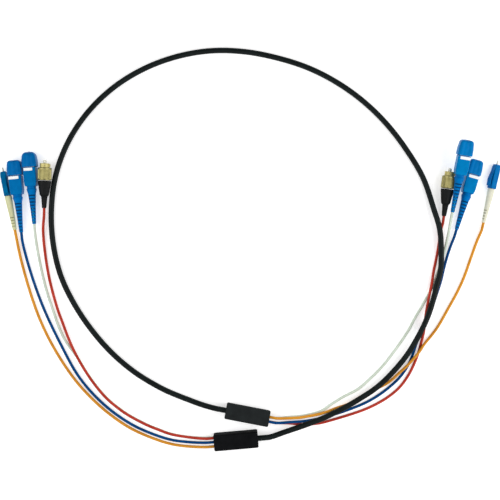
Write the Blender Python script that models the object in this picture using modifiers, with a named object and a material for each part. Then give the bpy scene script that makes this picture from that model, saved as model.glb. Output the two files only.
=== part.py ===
"""Outdoor fibre optic cable, fanned out into four pigtails at each end, lying flat in one loop.

The black cable runs from one breakout sleeve round the loop to the other. Each sleeve lets out an
orange, a blue, a white and a red pigtail. Orange ends in an LC connector, blue and white in SC
connectors under dust caps, and red in an FC connector. Metres, +Z up, lying on the plane z = 0.
"""

import math

import bmesh
import bpy
from mathutils import Matrix, Vector

MM = 0.001

# Cords
CABLE_DIAMETER = 4.0 * MM
PIGTAIL_DIAMETER = 2.0 * MM
CABLE_POINT_SPACING = 10.9 * MM
PIGTAIL_POINT_SPACING = 5.6 * MM
CABLE_LEAD = 8.0 * MM
PIGTAIL_LEAD = 5.0 * MM

# Fit between pieces that touch
CLEARANCE = 0.3 * MM

# Breakout sleeve
SLEEVE_LENGTH = 31.5 * MM
SLEEVE_WIDTH = 11.5 * MM
SLEEVE_HEIGHT = 10.5 * MM
SLEEVE_CORNER = 1.2 * MM
SLEEVE_END_EDGE = 0.9 * MM

# SC connector, sizes along the axis from the front of the boot's rear end
SC_HOUSING_WIDTH = 9.0 * MM
SC_HOUSING_HEIGHT = 7.4 * MM
SC_HOUSING_LENGTH = 13.5 * MM
SC_HOUSING_CORNER = 0.9 * MM
SC_HOUSING_END_EDGE = 0.4 * MM
SC_REAR_TAPER_LENGTH = 3.2 * MM
SC_REAR_TAPER_DEPTH = 0.6 * MM
SC_FRAME_WIDTH = 6.4 * MM
SC_FRAME_HEIGHT = 5.4 * MM
SC_FRAME_CORNER = 0.5 * MM
SC_FRAME_REACH = 5.5 * MM
SC_FERRULE_REACH = 3.4 * MM
SC_CAP_WIDTH = 10.6 * MM
SC_CAP_HEIGHT = 8.8 * MM
SC_CAP_LENGTH = 10.7 * MM
SC_CAP_END_WALL = 1.2 * MM
SC_CAP_CORNER = 1.9 * MM
SC_CAP_NOSE_WIDTH = 9.0 * MM
SC_CAP_NOSE_HEIGHT = 7.6 * MM
SC_CAP_NOSE_LENGTH = 6.0 * MM
SC_CAP_NOSE_EDGE = 1.9 * MM
SC_BOOT_LENGTH = 27.0 * MM
SC_BOOT_TUCK = 2.0 * MM
SC_BOOT_NECK_RADIUS = 3.0 * MM
SC_BOOT_FLARE_RADIUS = 3.6 * MM
SC_BOOT_FLARE_RUN = 3.6 * MM
SC_BOOT_WAIST_RADIUS = 2.75 * MM
SC_BOOT_MIDDLE_RADIUS = 2.0 * MM
SC_BOOT_MIDDLE_LENGTH = 12.0 * MM
SC_BOOT_REAR_RADIUS = 1.35 * MM
SC_GRIP_TRAVEL = 1.5 * MM

# Ceramic ferrules
WIDE_FERRULE_RADIUS = 1.25 * MM
NARROW_FERRULE_RADIUS = 0.625 * MM
FERRULE_SEAT_DEPTH = 2.0 * MM
FERRULE_CHAMFER = 0.25 * MM

# LC connector
LC_BODY_WIDTH = 4.6 * MM
LC_BODY_HEIGHT = 4.6 * MM
LC_BODY_LENGTH = 17.5 * MM
LC_BODY_CORNER = 0.4 * MM
LC_BODY_END_EDGE = 0.3 * MM
LC_NOSE_WIDTH = 3.6 * MM
LC_NOSE_LENGTH = 2.4 * MM
LC_FERRULE_REACH = 3.0 * MM
LC_LATCH_WIDTH = 3.2 * MM
LC_LATCH_THICKNESS = 0.8 * MM
LC_LATCH_RISE = 2.0 * MM
LC_LATCH_ROOT_SETBACK = 2.6 * MM
LC_LATCH_LENGTH = 13.4 * MM
LC_TRIGGER_LENGTH = 5.0 * MM
LC_BOOT_LENGTH = 25.0 * MM
LC_BOOT_FRONT_RADIUS = 2.5 * MM
LC_BOOT_REAR_RADIUS = 1.35 * MM
LC_BOOT_STRAIGHT = 2.5 * MM

# FC connector
FC_NUT_RADIUS = 4.9 * MM
FC_NUT_LENGTH = 9.1 * MM
FC_NUT_CHAMFER = 0.5 * MM
FC_NUT_LIP = 1.6 * MM
FC_STEM_RADIUS = 3.1 * MM
FC_FLANGE_RADIUS = 3.9 * MM
FC_FLANGE_THICKNESS = 1.2 * MM
FC_BARREL_RADIUS = 3.4 * MM
FC_BARREL_REACH = 3.0 * MM
FC_RECESS_RADIUS = 2.2 * MM
FC_RECESS_DEPTH = 5.0 * MM
FC_FERRULE_REACH = 2.4 * MM
FC_KEY_WIDTH = 2.0 * MM
FC_KEY_HEIGHT = 0.55 * MM
FC_KEY_SETBACK = 0.6 * MM
FC_KEY_NUT_GAP = 0.4 * MM
FC_BOOT_LENGTH = 19.5 * MM
FC_BOOT_COLLAR_RADIUS = 4.7 * MM
FC_BOOT_COLLAR_REAR_RADIUS = 3.3 * MM
FC_BOOT_COLLAR_LENGTH = 10.0 * MM
FC_BOOT_SHOULDER_LENGTH = 1.5 * MM
FC_BOOT_TAIL_FRONT_RADIUS = 2.2 * MM
FC_BOOT_REAR_RADIUS = 1.55 * MM

# Facets
ROUND_STEPS = 20
FINE_ROUND_STEPS = 12
CORNER_STEPS = 3

# Where each sleeve lies: middle of its cable face, lean clockwise from +Y, roll about its own axis
SLEEVES = {
    "left": {"at": (5.7, -135.5, 5.25), "lean": -95.0, "pitch": 0.0, "roll": 0.0},
    "right": {"at": (-17.3, -115.5, 5.9), "lean": 100.9, "pitch": 0.0, "roll": -8.0},
}

# Where each pigtail leaves its sleeve's fan face, across and up from the face's middle
FAN_EXITS = {
    "left": {"red": (-3.1, 1.2), "blue": (0.0, 0.0), "orange": (3.1, 0.0), "white": (-3.1, -1.2)},
    "right": {"orange": (1.3, 1.2), "blue": (-2.0, 1.2), "white": (1.3, -1.2), "red": (-2.0, -1.2)},
}

# Where each connector lies: middle of its boot's rear end, lean clockwise from +Y, pitch and roll
CONNECTORS = {
    ("orange", "left"): {"at": (-168.7, 13.3, 2.2), "lean": -11.0, "pitch": 0.8, "roll": 0.0},
    ("blue", "left"): {"at": (-163.8, 11.6, 3.1), "lean": -5.3, "pitch": 2.0, "roll": 0.0},
    ("white", "left"): {"at": (-154.5, 17.5, 3.1), "lean": -3.8, "pitch": 2.0, "roll": 0.0},
    ("red", "left"): {"at": (-147.4, 28.9, 3.3), "lean": 2.0, "pitch": 5.0, "roll": 0.0},
    ("red", "right"): {"at": (138.8, 23.1, 3.3), "lean": 6.5, "pitch": 5.0, "roll": 0.0},
    ("white", "right"): {"at": (143.9, 25.8, 7.6), "lean": 9.0, "pitch": 11.0, "roll": 0.0},
    ("blue", "right"): {"at": (147.9, 13.6, 3.1), "lean": 15.8, "pitch": 2.0, "roll": 0.0},
    ("orange", "right"): {"at": (167.5, 18.5, 2.2), "lean": 12.6, "pitch": 1.9, "roll": -62.0},
}

# The cable's route round the loop, from the right end's sleeve to the left end's, in millimetres
CABLE_ROUTE = [
    (-35.0, -111.5, 4.2), (-44.4, -108.3, 2.8), (-53.8, -104.8, 2.0), (-63.7, -100.3, 2.0),
    (-81.9, -89.4, 2.0), (-98.4, -75.7, 2.0), (-113.0, -59.3, 2.0), (-125.7, -40.6, 2.0),
    (-135.8, -19.5, 2.0), (-141.3, 3.9, 2.0), (-142.5, 28.5, 2.0), (-139.2, 53.3, 2.0),
    (-130.2, 77.0, 2.0), (-116.0, 98.2, 2.0), (-97.5, 115.8, 2.0), (-75.9, 129.0, 2.0),
    (-52.3, 137.7, 2.0), (-27.9, 141.8, 2.0), (-3.6, 141.1, 2.0), (19.8, 136.6, 2.0),
    (42.1, 129.4, 2.0), (62.8, 118.8, 2.0), (81.6, 105.3, 2.0), (98.1, 89.2, 2.0),
    (112.3, 70.7, 2.0), (124.3, 50.4, 2.0), (131.6, 27.8, 3.8), (135.4, 14.1, 5.0),
    (136.6, -1.2, 4.6), (136.2, -15.4, 4.6), (133.2, -27.6, 4.6), (130.5, -37.7, 5.2),
    (127.6, -46.0, 6.4), (123.4, -55.6, 7.1), (118.4, -65.5, 6.2), (112.8, -75.1, 5.0),
    (105.0, -85.1, 4.6), (91.6, -98.5, 4.6), (77.8, -107.8, 4.6), (65.9, -114.6, 4.6),
    (53.6, -120.7, 4.6), (39.3, -126.2, 4.8), (25.0, -131.0, 5.1),
]

# Each pigtail's route from its sleeve to its connector, in millimetres
PIGTAIL_ROUTES = {
    ("red", "left"): [
        (-44.8, -134.8, 4.4), (-57.1, -132.9, 3.4), (-65.4, -129.9, 3.3), (-73.6, -126.6, 3.3),
        (-85.9, -120.2, 3.3), (-93.4, -115.2, 3.3), (-103.3, -106.8, 3.3), (-114.4, -93.1, 3.3),
        (-124.4, -76.5, 3.3), (-130.1, -64.7, 2.4), (-135.2, -52.0, 1.2), (-138.1, -44.3, 1.0),
        (-144.4, -20.9, 1.0), (-147.9, 2.4, 1.2), (-148.4, 14.6, 2.2),
    ],
    ("white", "left"): [
        (-45.0, -135.2, 2.0), (-57.2, -133.2, 1.0), (-65.5, -130.1, 1.0), (-73.7, -126.8, 1.0),
        (-86.0, -120.4, 1.0), (-93.6, -115.4, 1.0), (-103.5, -107.0, 1.0), (-114.7, -93.3, 1.0),
        (-124.9, -77.1, 1.0), (-131.9, -67.6, 1.0), (-137.1, -57.1, 1.0), (-141.6, -44.3, 1.0),
        (-145.9, -31.3, 1.0), (-150.0, -14.8, 1.0), (-153.1, 2.2, 1.6),
    ],
    ("blue", "left"): [
        (-44.9, -138.9, 2.0), (-57.4, -137.4, 1.0), (-73.9, -131.8, 1.0), (-86.3, -125.8, 1.0),
        (-101.5, -115.2, 1.0), (-114.9, -102.4, 1.0), (-124.6, -89.9, 1.0), (-134.9, -71.2, 1.0),
        (-147.4, -45.2, 1.0), (-155.8, -22.9, 1.0), (-161.5, -3.3, 1.5),
    ],
    ("orange", "left"): [
        (-44.9, -142.0, 2.0), (-57.4, -140.4, 1.0), (-74.5, -134.6, 1.0), (-87.4, -128.4, 1.0),
        (-101.6, -118.6, 1.0), (-114.4, -107.2, 1.0), (-127.0, -92.9, 1.0), (-141.3, -70.9, 1.0),
        (-150.9, -51.3, 1.0), (-158.5, -29.9, 1.0), (-165.0, -6.2, 1.2),
    ],
    ("orange", "right"): [
        (28.5, -121.0, 6.2), (35.7, -120.9, 4.8), (42.3, -120.0, 3.6), (48.7, -118.9, 3.4),
        (55.2, -117.2, 2.3), (61.8, -114.8, 1.2), (69.2, -112.4, 1.0), (79.6, -107.6, 1.0),
        (89.6, -101.6, 1.0), (99.4, -96.4, 1.1), (107.0, -89.4, 2.0), (113.6, -82.9, 3.3),
        (118.6, -77.2, 3.4), (122.0, -72.8, 3.6), (124.7, -68.8, 2.8), (129.2, -64.0, 1.3), (134.7, -56.8, 1.0),
        (142.8, -42.6, 1.0), (148.6, -32.1, 1.0), (153.6, -21.3, 1.0), (158.6, -7.3, 1.0),
        (163.1, 5.4, 1.3),
    ],
    ("blue", "right"): [
        (28.6, -124.0, 5.2), (38.0, -124.0, 2.3), (47.4, -122.7, 1.2), (57.5, -120.2, 1.0),
        (68.3, -116.8, 1.0), (81.8, -111.5, 1.0), (90.9, -106.5, 1.0), (100.4, -99.5, 1.0),
        (107.8, -92.4, 1.0), (113.4, -84.3, 1.0), (116.8, -76.7, 1.0), (119.5, -68.8, 1.0),
        (122.9, -60.3, 1.0), (127.3, -51.4, 1.0), (131.0, -42.3, 1.0), (134.2, -32.8, 1.0),
        (137.2, -23.4, 1.0), (139.4, -14.1, 1.0), (141.8, -5.4, 1.0), (144.2, 2.1, 1.6),
    ],
    ("white", "right"): [
        (28.7, -120.7, 3.4), (38.1, -120.2, 1.5), (46.0, -118.5, 1.0), (52.0, -116.5, 1.0),
        (58.5, -112.0, 1.0), (67.6, -106.4, 1.0), (77.2, -101.4, 1.0), (86.4, -93.6, 1.0),
        (95.5, -84.4, 1.0), (107.2, -69.0, 1.0), (113.8, -59.1, 1.0), (118.7, -49.9, 1.0),
        (122.8, -43.1, 1.0), (127.4, -34.8, 1.0), (131.4, -27.0, 1.0), (134.6, -18.4, 1.0),
        (137.2, -10.5, 1.0), (139.4, -3.3, 1.3), (140.9, 4.2, 2.6), (142.2, 12.7, 4.6),
    ],
    ("red", "right"): [
        (28.7, -125.3, 2.7), (36.5, -126.4, 1.2), (48.9, -125.8, 1.0), (57.9, -123.6, 1.0),
        (63.5, -122.0, 1.0), (72.6, -119.2, 1.0), (81.8, -116.0, 1.0), (90.9, -111.8, 1.0),
        (100.1, -106.2, 1.0), (107.9, -99.4, 1.0), (114.4, -90.2, 1.0), (118.6, -81.4, 1.0),
        (121.5, -73.4, 1.0), (123.1, -67.1, 1.4), (124.4, -60.2, 3.2), (125.2, -52.8, 3.6),
        (126.2, -45.6, 3.2), (127.5, -38.4, 3.3), (128.9, -31.2, 3.4), (130.6, -23.4, 2.6),
        (132.1, -15.7, 1.2), (133.4, -9.9, 1.0), (134.9, -1.9, 1.0), (136.0, 5.2, 1.0), (136.7, 12.2, 1.7),
    ],
}

# Finishes: linear colour, roughness, metallic
FINISHES = {
    "black_jacket": ((0.012, 0.014, 0.015), 0.45, 0.0),
    "black_sleeve": ((0.014, 0.016, 0.017), 0.5, 0.0),
    "orange_jacket": ((0.85, 0.27, 0.02), 0.4, 0.0),
    "blue_jacket": ((0.01, 0.10, 0.42), 0.4, 0.0),
    "white_jacket": ((0.72, 0.80, 0.72), 0.4, 0.0),
    "red_jacket": ((0.56, 0.04, 0.025), 0.4, 0.0),
    "blue_housing": ((0.004, 0.20, 0.55), 0.35, 0.0),
    "blue_cap": ((0.004, 0.19, 0.55), 0.4, 0.0),
    "blue_boot": ((0.004, 0.18, 0.52), 0.5, 0.0),
    "plug_frame": ((0.70, 0.70, 0.68), 0.4, 0.0),
    "teal_housing": ((0.008, 0.17, 0.36), 0.35, 0.0),
    "white_boot": ((0.78, 0.76, 0.62), 0.5, 0.0),
    "black_boot": ((0.015, 0.015, 0.016), 0.6, 0.0),
    "nut_metal": ((0.55, 0.48, 0.30), 0.35, 1.0),
    "body_metal": ((0.62, 0.58, 0.42), 0.3, 1.0),
    "ceramic": ((0.82, 0.80, 0.72), 0.2, 0.0),
}


def clear_scene():
    """Remove every object of the open scene."""
    for stale in list(bpy.data.objects):
        bpy.data.objects.remove(stale, do_unlink=True)


def make_collection(name):
    """Add a collection under the scene's own."""
    collection = bpy.data.collections.new(name)
    bpy.context.scene.collection.children.link(collection)
    return collection


def make_finish(name):
    """Make one Principled material from the table of finishes."""
    colour, roughness, metallic = FINISHES[name]
    material = bpy.data.materials.new(name)
    material.use_nodes = True
    shader = material.node_tree.nodes["Principled BSDF"]
    shader.inputs["Base Color"].default_value = (*colour, 1.0)
    shader.inputs["Roughness"].default_value = roughness
    shader.inputs["Metallic"].default_value = metallic
    material.diffuse_color = (*colour, 1.0)
    return material


def add_piece(name, data, finish, parent=None):
    """Link one sub-part into the cable's collection, on its parent empty if it has one."""
    piece = bpy.data.objects.new(name, data)
    data.materials.append(make_finish(finish))
    parts.objects.link(piece)
    piece.parent = parent
    return piece


def add_frame(name, at, lean, pitch, roll):
    """Add an empty whose +Z is a piece's axis, +Y its top and +X its left side seen along +Z."""
    lean, pitch, roll = math.radians(lean), math.radians(pitch), math.radians(roll)
    forward = Vector((math.sin(lean) * math.cos(pitch), math.cos(lean) * math.cos(pitch), math.sin(pitch)))
    side = Vector((0.0, 0.0, 1.0)).cross(forward).normalized()
    top = forward.cross(side)
    turn = Matrix((side, top, forward)).transposed().to_4x4()
    empty = bpy.data.objects.new(name, None)
    empty.empty_display_size = 5.0 * MM
    parts.objects.link(empty)
    empty.matrix_world = Matrix.Translation(Vector(at) * MM) @ turn @ Matrix.Rotation(roll, 4, "Z")
    bpy.context.view_layer.update()
    return empty


def bore_radius(radius, steps):
    """Give the radius of a faceted bore that clears a faceted shaft of the same steps."""
    return radius + CLEARANCE / math.cos(math.pi / steps)


def turned_mesh(name, profile, closed=False):
    """Make the edges of a turned profile: radius and height, down the outer side."""
    mesh = bpy.data.meshes.new(name)
    corners = [(radius, 0.0, height) for radius, height in profile]
    edges = [(i, i + 1) for i in range(len(corners) - 1)]
    if closed:
        edges.append((len(corners) - 1, 0))
    mesh.from_pydata(corners, edges, [])
    return mesh


def turn(piece, steps):
    """Sweep a profile round its own Z axis into a solid of revolution."""
    screw = piece.modifiers.new("Turned", "SCREW")
    screw.axis = "Z"
    screw.angle = 2.0 * math.pi
    screw.steps = steps
    screw.render_steps = steps
    screw.use_merge_vertices = True
    screw.merge_threshold = 0.01 * MM


def set_section(corners, width, height, level):
    """Place the four corners of a rectangle that is centred on the axis."""
    for corner in corners:
        corner.co = (math.copysign(width / 2.0, corner.co.x), math.copysign(height / 2.0, corner.co.y), level)


def round_edges(form, edges, radius):
    """Round some edges of a form."""
    if radius > 0.0:
        bmesh.ops.bevel(
            form, geom=edges, offset=radius, offset_type="OFFSET", segments=CORNER_STEPS, profile=0.5, affect="EDGES"
        )


def block_mesh(name, sections, corner=0.0, near_edge=0.0, far_edge=0.0):
    """Draw a box out along the axis through its sections: width, height and level, rising."""
    mesh = bpy.data.meshes.new(name)
    form = bmesh.new()
    bmesh.ops.create_cube(form, size=1.0)
    for level, section in zip((-0.5, 0.5), sections):
        corners = [v for v in form.verts if v.co.z == level]
        set_section(corners, *section)
    for before, section in zip(sections[1:], sections[2:]):
        end_face = [f for f in form.faces if all(abs(v.co.z - before[2]) < 1e-7 for v in f.verts)]
        drawn = bmesh.ops.extrude_face_region(form, geom=end_face)
        set_section([v for v in drawn["geom"] if isinstance(v, bmesh.types.BMVert)], *section)
        bmesh.ops.delete(form, geom=end_face, context="FACES_ONLY")
    along = [e for e in form.edges if abs(e.verts[0].co.z - e.verts[1].co.z) > 1e-7]
    round_edges(form, along, corner)
    for level, radius in ((sections[0][2], near_edge), (sections[-1][2], far_edge)):
        rim = [e for e in form.edges if all(abs(v.co.z - level) < 1e-7 for v in e.verts)]
        round_edges(form, rim, radius)
    form.to_mesh(mesh)
    form.free()
    return mesh


def outline_mesh(name, outline, thickness):
    """Extrude a flat outline of (height along the axis, rise) points across the piece."""
    curve = bpy.data.curves.new(name, "CURVE")
    curve.dimensions = "2D"
    curve.fill_mode = "BOTH"
    curve.extrude = thickness / 2.0
    spline = curve.splines.new("POLY")
    spline.points.add(len(outline) - 1)
    for point, (along, rise) in zip(spline.points, outline):
        point.co = (along, rise, 0.0, 1.0)
    spline.use_cyclic_u = True
    guide = bpy.data.objects.new(name, curve)
    cutters.objects.link(guide)
    bpy.context.view_layer.update()
    depsgraph = bpy.context.evaluated_depsgraph_get()
    mesh = bpy.data.meshes.new_from_object(guide.evaluated_get(depsgraph))
    bpy.data.objects.remove(guide, do_unlink=True)
    form = bmesh.new()
    form.from_mesh(mesh)
    bmesh.ops.remove_doubles(form, verts=form.verts, dist=0.001 * MM)
    across_to_side = Matrix(((0, 0, 1), (0, 1, 0), (1, 0, 0))).to_4x4()
    bmesh.ops.transform(form, matrix=across_to_side, verts=form.verts)
    bmesh.ops.recalc_face_normals(form, faces=form.faces)
    form.to_mesh(mesh)
    form.free()
    return mesh


def combine(piece, name, mesh, operation):
    """Cut a shape out of a piece or join it on; the shape itself stays out of the object."""
    tool = bpy.data.objects.new(name, mesh)
    cutters.objects.link(tool)
    tool.parent = piece.parent
    tool.hide_render = True
    tool.display_type = "WIRE"
    boolean = piece.modifiers.new(name, "BOOLEAN")
    boolean.operation = operation
    boolean.solver = "EXACT"
    boolean.object = tool
    return tool


def smooth_route(points, spacing, lowest):
    """Keep the straight leads and read even points from a Catmull-Rom curve between them."""
    dense = [points[1]]
    for a, b, c, d in zip(points, points[1:], points[2:], points[3:]):
        t1 = (b - a).length ** 0.5
        t2 = t1 + (c - b).length ** 0.5
        t3 = t2 + (d - c).length ** 0.5
        for step in range(1, 17):
            t = t1 + (t2 - t1) * step / 16.0
            ab = a.lerp(b, t / t1)
            bc = b.lerp(c, (t - t1) / (t2 - t1))
            cd = c.lerp(d, (t - t2) / (t3 - t2))
            abc = ab.lerp(bc, t / t2)
            bcd = bc.lerp(cd, (t - t1) / (t3 - t1))
            dense.append(abc.lerp(bcd, (t - t1) / (t2 - t1)))
    lengths = [0.0]
    for a, b in zip(dense, dense[1:]):
        lengths.append(lengths[-1] + (b - a).length)
    runs = max(1, round(lengths[-1] / spacing))
    even, k = [dense[0]], 0
    for run in range(1, runs):
        target = lengths[-1] * run / runs
        while lengths[k + 1] < target:
            k += 1
        share = (target - lengths[k]) / (lengths[k + 1] - lengths[k])
        even.append(dense[k].lerp(dense[k + 1], share))
    even = [points[0], *even, dense[-1], points[-1]]
    return [Vector((point.x, point.y, max(point.z, lowest))) for point in even]


def add_cord(name, route, diameter, spacing, rings, finish):
    """Lay one round cord along a route."""
    curve = bpy.data.curves.new(name, "CURVE")
    curve.dimensions = "3D"
    curve.bevel_depth = diameter / 2.0
    curve.bevel_resolution = rings
    curve.use_fill_caps = True
    spline = curve.splines.new("POLY")
    points = smooth_route(route, spacing, diameter / 2.0)
    spline.points.add(len(points) - 1)
    for knot, point in zip(spline.points, points):
        knot.co = (*point, 1.0)
    return add_piece(name, curve, finish)


def add_ferrule(name, frame, radius, rear, tip):
    """Add one ceramic ferrule with a chamfered tip."""
    profile = [
        (0.0, tip),
        (radius - FERRULE_CHAMFER, tip),
        (radius, tip - FERRULE_CHAMFER),
        (radius, rear),
        (0.0, rear),
    ]
    turn(add_piece(name, turned_mesh(name, profile), "ceramic", frame), FINE_ROUND_STEPS)


def add_sleeve(end):
    """Add the moulded breakout sleeve of one end."""
    name = f"sleeve_{end}"
    frame = add_frame(f"{name}_frame", **SLEEVES[end])
    sections = [(SLEEVE_WIDTH, SLEEVE_HEIGHT, 0.0), (SLEEVE_WIDTH, SLEEVE_HEIGHT, SLEEVE_LENGTH)]
    mesh = block_mesh(name, sections, SLEEVE_CORNER, SLEEVE_END_EDGE, SLEEVE_END_EDGE)
    add_piece(name, mesh, "black_sleeve", frame)
    return frame


def add_sc_connector(colour, end):
    """Add the five pieces of one SC connector with its dust cap on."""
    name = f"sc_{colour}_{end}"
    frame = add_frame(f"{name}_frame", **CONNECTORS[colour, end])

    boot_front = SC_BOOT_LENGTH + SC_BOOT_TUCK
    flare_front = SC_BOOT_LENGTH - SC_GRIP_TRAVEL - CLEARANCE
    boot_profile = [
        (0.0, boot_front),
        (SC_BOOT_NECK_RADIUS, boot_front),
        (SC_BOOT_NECK_RADIUS, flare_front),
        (SC_BOOT_FLARE_RADIUS, flare_front),
        (SC_BOOT_WAIST_RADIUS, flare_front - SC_BOOT_FLARE_RUN),
        (SC_BOOT_MIDDLE_RADIUS, SC_BOOT_MIDDLE_LENGTH),
        (SC_BOOT_REAR_RADIUS, 0.0),
        (0.0, 0.0),
    ]
    boot = add_piece(f"{name}_boot", turned_mesh(name, boot_profile), "blue_boot", frame)
    turn(boot, ROUND_STEPS)

    housing_rear = SC_BOOT_LENGTH
    housing_front = housing_rear + SC_HOUSING_LENGTH
    housing_sections = [
        (SC_HOUSING_WIDTH - 2.0 * SC_REAR_TAPER_DEPTH, SC_HOUSING_HEIGHT, housing_rear),
        (SC_HOUSING_WIDTH, SC_HOUSING_HEIGHT, housing_rear + SC_REAR_TAPER_LENGTH),
        (SC_HOUSING_WIDTH, SC_HOUSING_HEIGHT, housing_front),
    ]
    housing_mesh = block_mesh(name, housing_sections, SC_HOUSING_CORNER, SC_HOUSING_END_EDGE, SC_HOUSING_END_EDGE)
    housing = add_piece(f"{name}_housing", housing_mesh, "blue_housing", frame)
    bore_width = SC_FRAME_WIDTH + 2.0 * CLEARANCE
    bore_height = max(SC_FRAME_HEIGHT, 2.0 * SC_BOOT_NECK_RADIUS) + 2.0 * CLEARANCE
    bore_sections = [
        (bore_width, bore_height, housing_rear - 1.0 * MM),
        (bore_width, bore_height, housing_front + 1.0 * MM),
    ]
    bore = block_mesh("bore", bore_sections)
    combine(housing, f"{name}_bore", bore, "DIFFERENCE")

    frame_front = housing_front + SC_FRAME_REACH
    plug_sections = [
        (SC_FRAME_WIDTH, SC_FRAME_HEIGHT, boot_front + CLEARANCE),
        (SC_FRAME_WIDTH, SC_FRAME_HEIGHT, frame_front),
    ]
    plug_mesh = block_mesh(name, plug_sections, SC_FRAME_CORNER)
    plug = add_piece(f"{name}_plug_frame", plug_mesh, "plug_frame", frame)
    seat_floor = frame_front - FERRULE_SEAT_DEPTH
    seat_radius = bore_radius(WIDE_FERRULE_RADIUS, FINE_ROUND_STEPS)
    seat_top = frame_front + 1.0 * MM
    seat_profile = [(0.0, seat_top), (seat_radius, seat_top), (seat_radius, seat_floor), (0.0, seat_floor)]
    seat = combine(plug, f"{name}_seat", turned_mesh("seat", seat_profile), "DIFFERENCE")
    turn(seat, FINE_ROUND_STEPS)

    ferrule_tip = frame_front + SC_FERRULE_REACH
    add_ferrule(f"{name}_ferrule", frame, WIDE_FERRULE_RADIUS, seat_floor + CLEARANCE, ferrule_tip)

    cap_rear = housing_front + CLEARANCE
    cap_front = cap_rear + SC_CAP_LENGTH
    cap_sections = [
        (SC_CAP_WIDTH, SC_CAP_HEIGHT, cap_rear),
        (SC_CAP_WIDTH, SC_CAP_HEIGHT, cap_front - SC_CAP_NOSE_LENGTH),
        (SC_CAP_NOSE_WIDTH, SC_CAP_NOSE_HEIGHT, cap_front),
    ]
    cap_mesh = block_mesh(name, cap_sections, SC_CAP_CORNER, 0.0, SC_CAP_NOSE_EDGE)
    cap = add_piece(f"{name}_cap", cap_mesh, "blue_cap", frame)
    cavity_width = SC_FRAME_WIDTH + 2.0 * CLEARANCE
    cavity_height = SC_FRAME_HEIGHT + 2.0 * CLEARANCE
    cavity_sections = [
        (cavity_width, cavity_height, cap_rear - 1.0 * MM),
        (cavity_width, cavity_height, cap_front - SC_CAP_END_WALL),
    ]
    cavity = block_mesh("cavity", cavity_sections)
    combine(cap, f"{name}_cavity", cavity, "DIFFERENCE")
    return frame


def add_lc_connector(end):
    """Add the housing with its latch, the ferrule and the boot of one LC connector."""
    name = f"lc_{end}"
    frame = add_frame(f"{name}_frame", **CONNECTORS["orange", end])

    boot_front = LC_BOOT_LENGTH - CLEARANCE
    boot_profile = [
        (0.0, boot_front),
        (LC_BOOT_FRONT_RADIUS, boot_front),
        (LC_BOOT_FRONT_RADIUS, LC_BOOT_LENGTH - LC_BOOT_STRAIGHT),
        (LC_BOOT_REAR_RADIUS, 0.0),
        (0.0, 0.0),
    ]
    turn(add_piece(f"{name}_boot", turned_mesh(name, boot_profile), "white_boot", frame), ROUND_STEPS)

    rear = LC_BOOT_LENGTH
    front = rear + LC_BODY_LENGTH
    body_sections = [
        (LC_BODY_WIDTH, LC_BODY_HEIGHT, rear),
        (LC_BODY_WIDTH, LC_BODY_HEIGHT, front - LC_NOSE_LENGTH),
        (LC_NOSE_WIDTH, LC_NOSE_WIDTH, front),
    ]
    housing_mesh = block_mesh(name, body_sections, LC_BODY_CORNER, 0.0, LC_BODY_END_EDGE)
    housing = add_piece(f"{name}_housing", housing_mesh, "teal_housing", frame)
    deck = LC_BODY_HEIGHT / 2.0
    root = front - LC_LATCH_ROOT_SETBACK
    tail = root - LC_LATCH_LENGTH
    trigger = tail + LC_TRIGGER_LENGTH
    sunk = deck - LC_LATCH_THICKNESS
    rise = deck + LC_LATCH_RISE
    latch_outline = [
        (root, sunk),
        (root, deck),
        (trigger, rise),
        (tail, rise - LC_LATCH_THICKNESS / 2.0),
        (tail, rise - 1.5 * LC_LATCH_THICKNESS),
        (trigger, rise - LC_LATCH_THICKNESS),
        (root - 2.0 * LC_LATCH_THICKNESS, deck),
        (root - 2.0 * LC_LATCH_THICKNESS, sunk),
    ]
    combine(housing, f"{name}_latch", outline_mesh(name, latch_outline, LC_LATCH_WIDTH), "UNION")
    seat_floor = front - FERRULE_SEAT_DEPTH
    seat_radius = bore_radius(NARROW_FERRULE_RADIUS, FINE_ROUND_STEPS)
    seat_top = front + 1.0 * MM
    seat_profile = [(0.0, seat_top), (seat_radius, seat_top), (seat_radius, seat_floor), (0.0, seat_floor)]
    seat = combine(housing, f"{name}_seat", turned_mesh("seat", seat_profile), "DIFFERENCE")
    turn(seat, FINE_ROUND_STEPS)

    tip = front + LC_FERRULE_REACH
    add_ferrule(f"{name}_ferrule", frame, NARROW_FERRULE_RADIUS, seat_floor + CLEARANCE, tip)
    return frame


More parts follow.
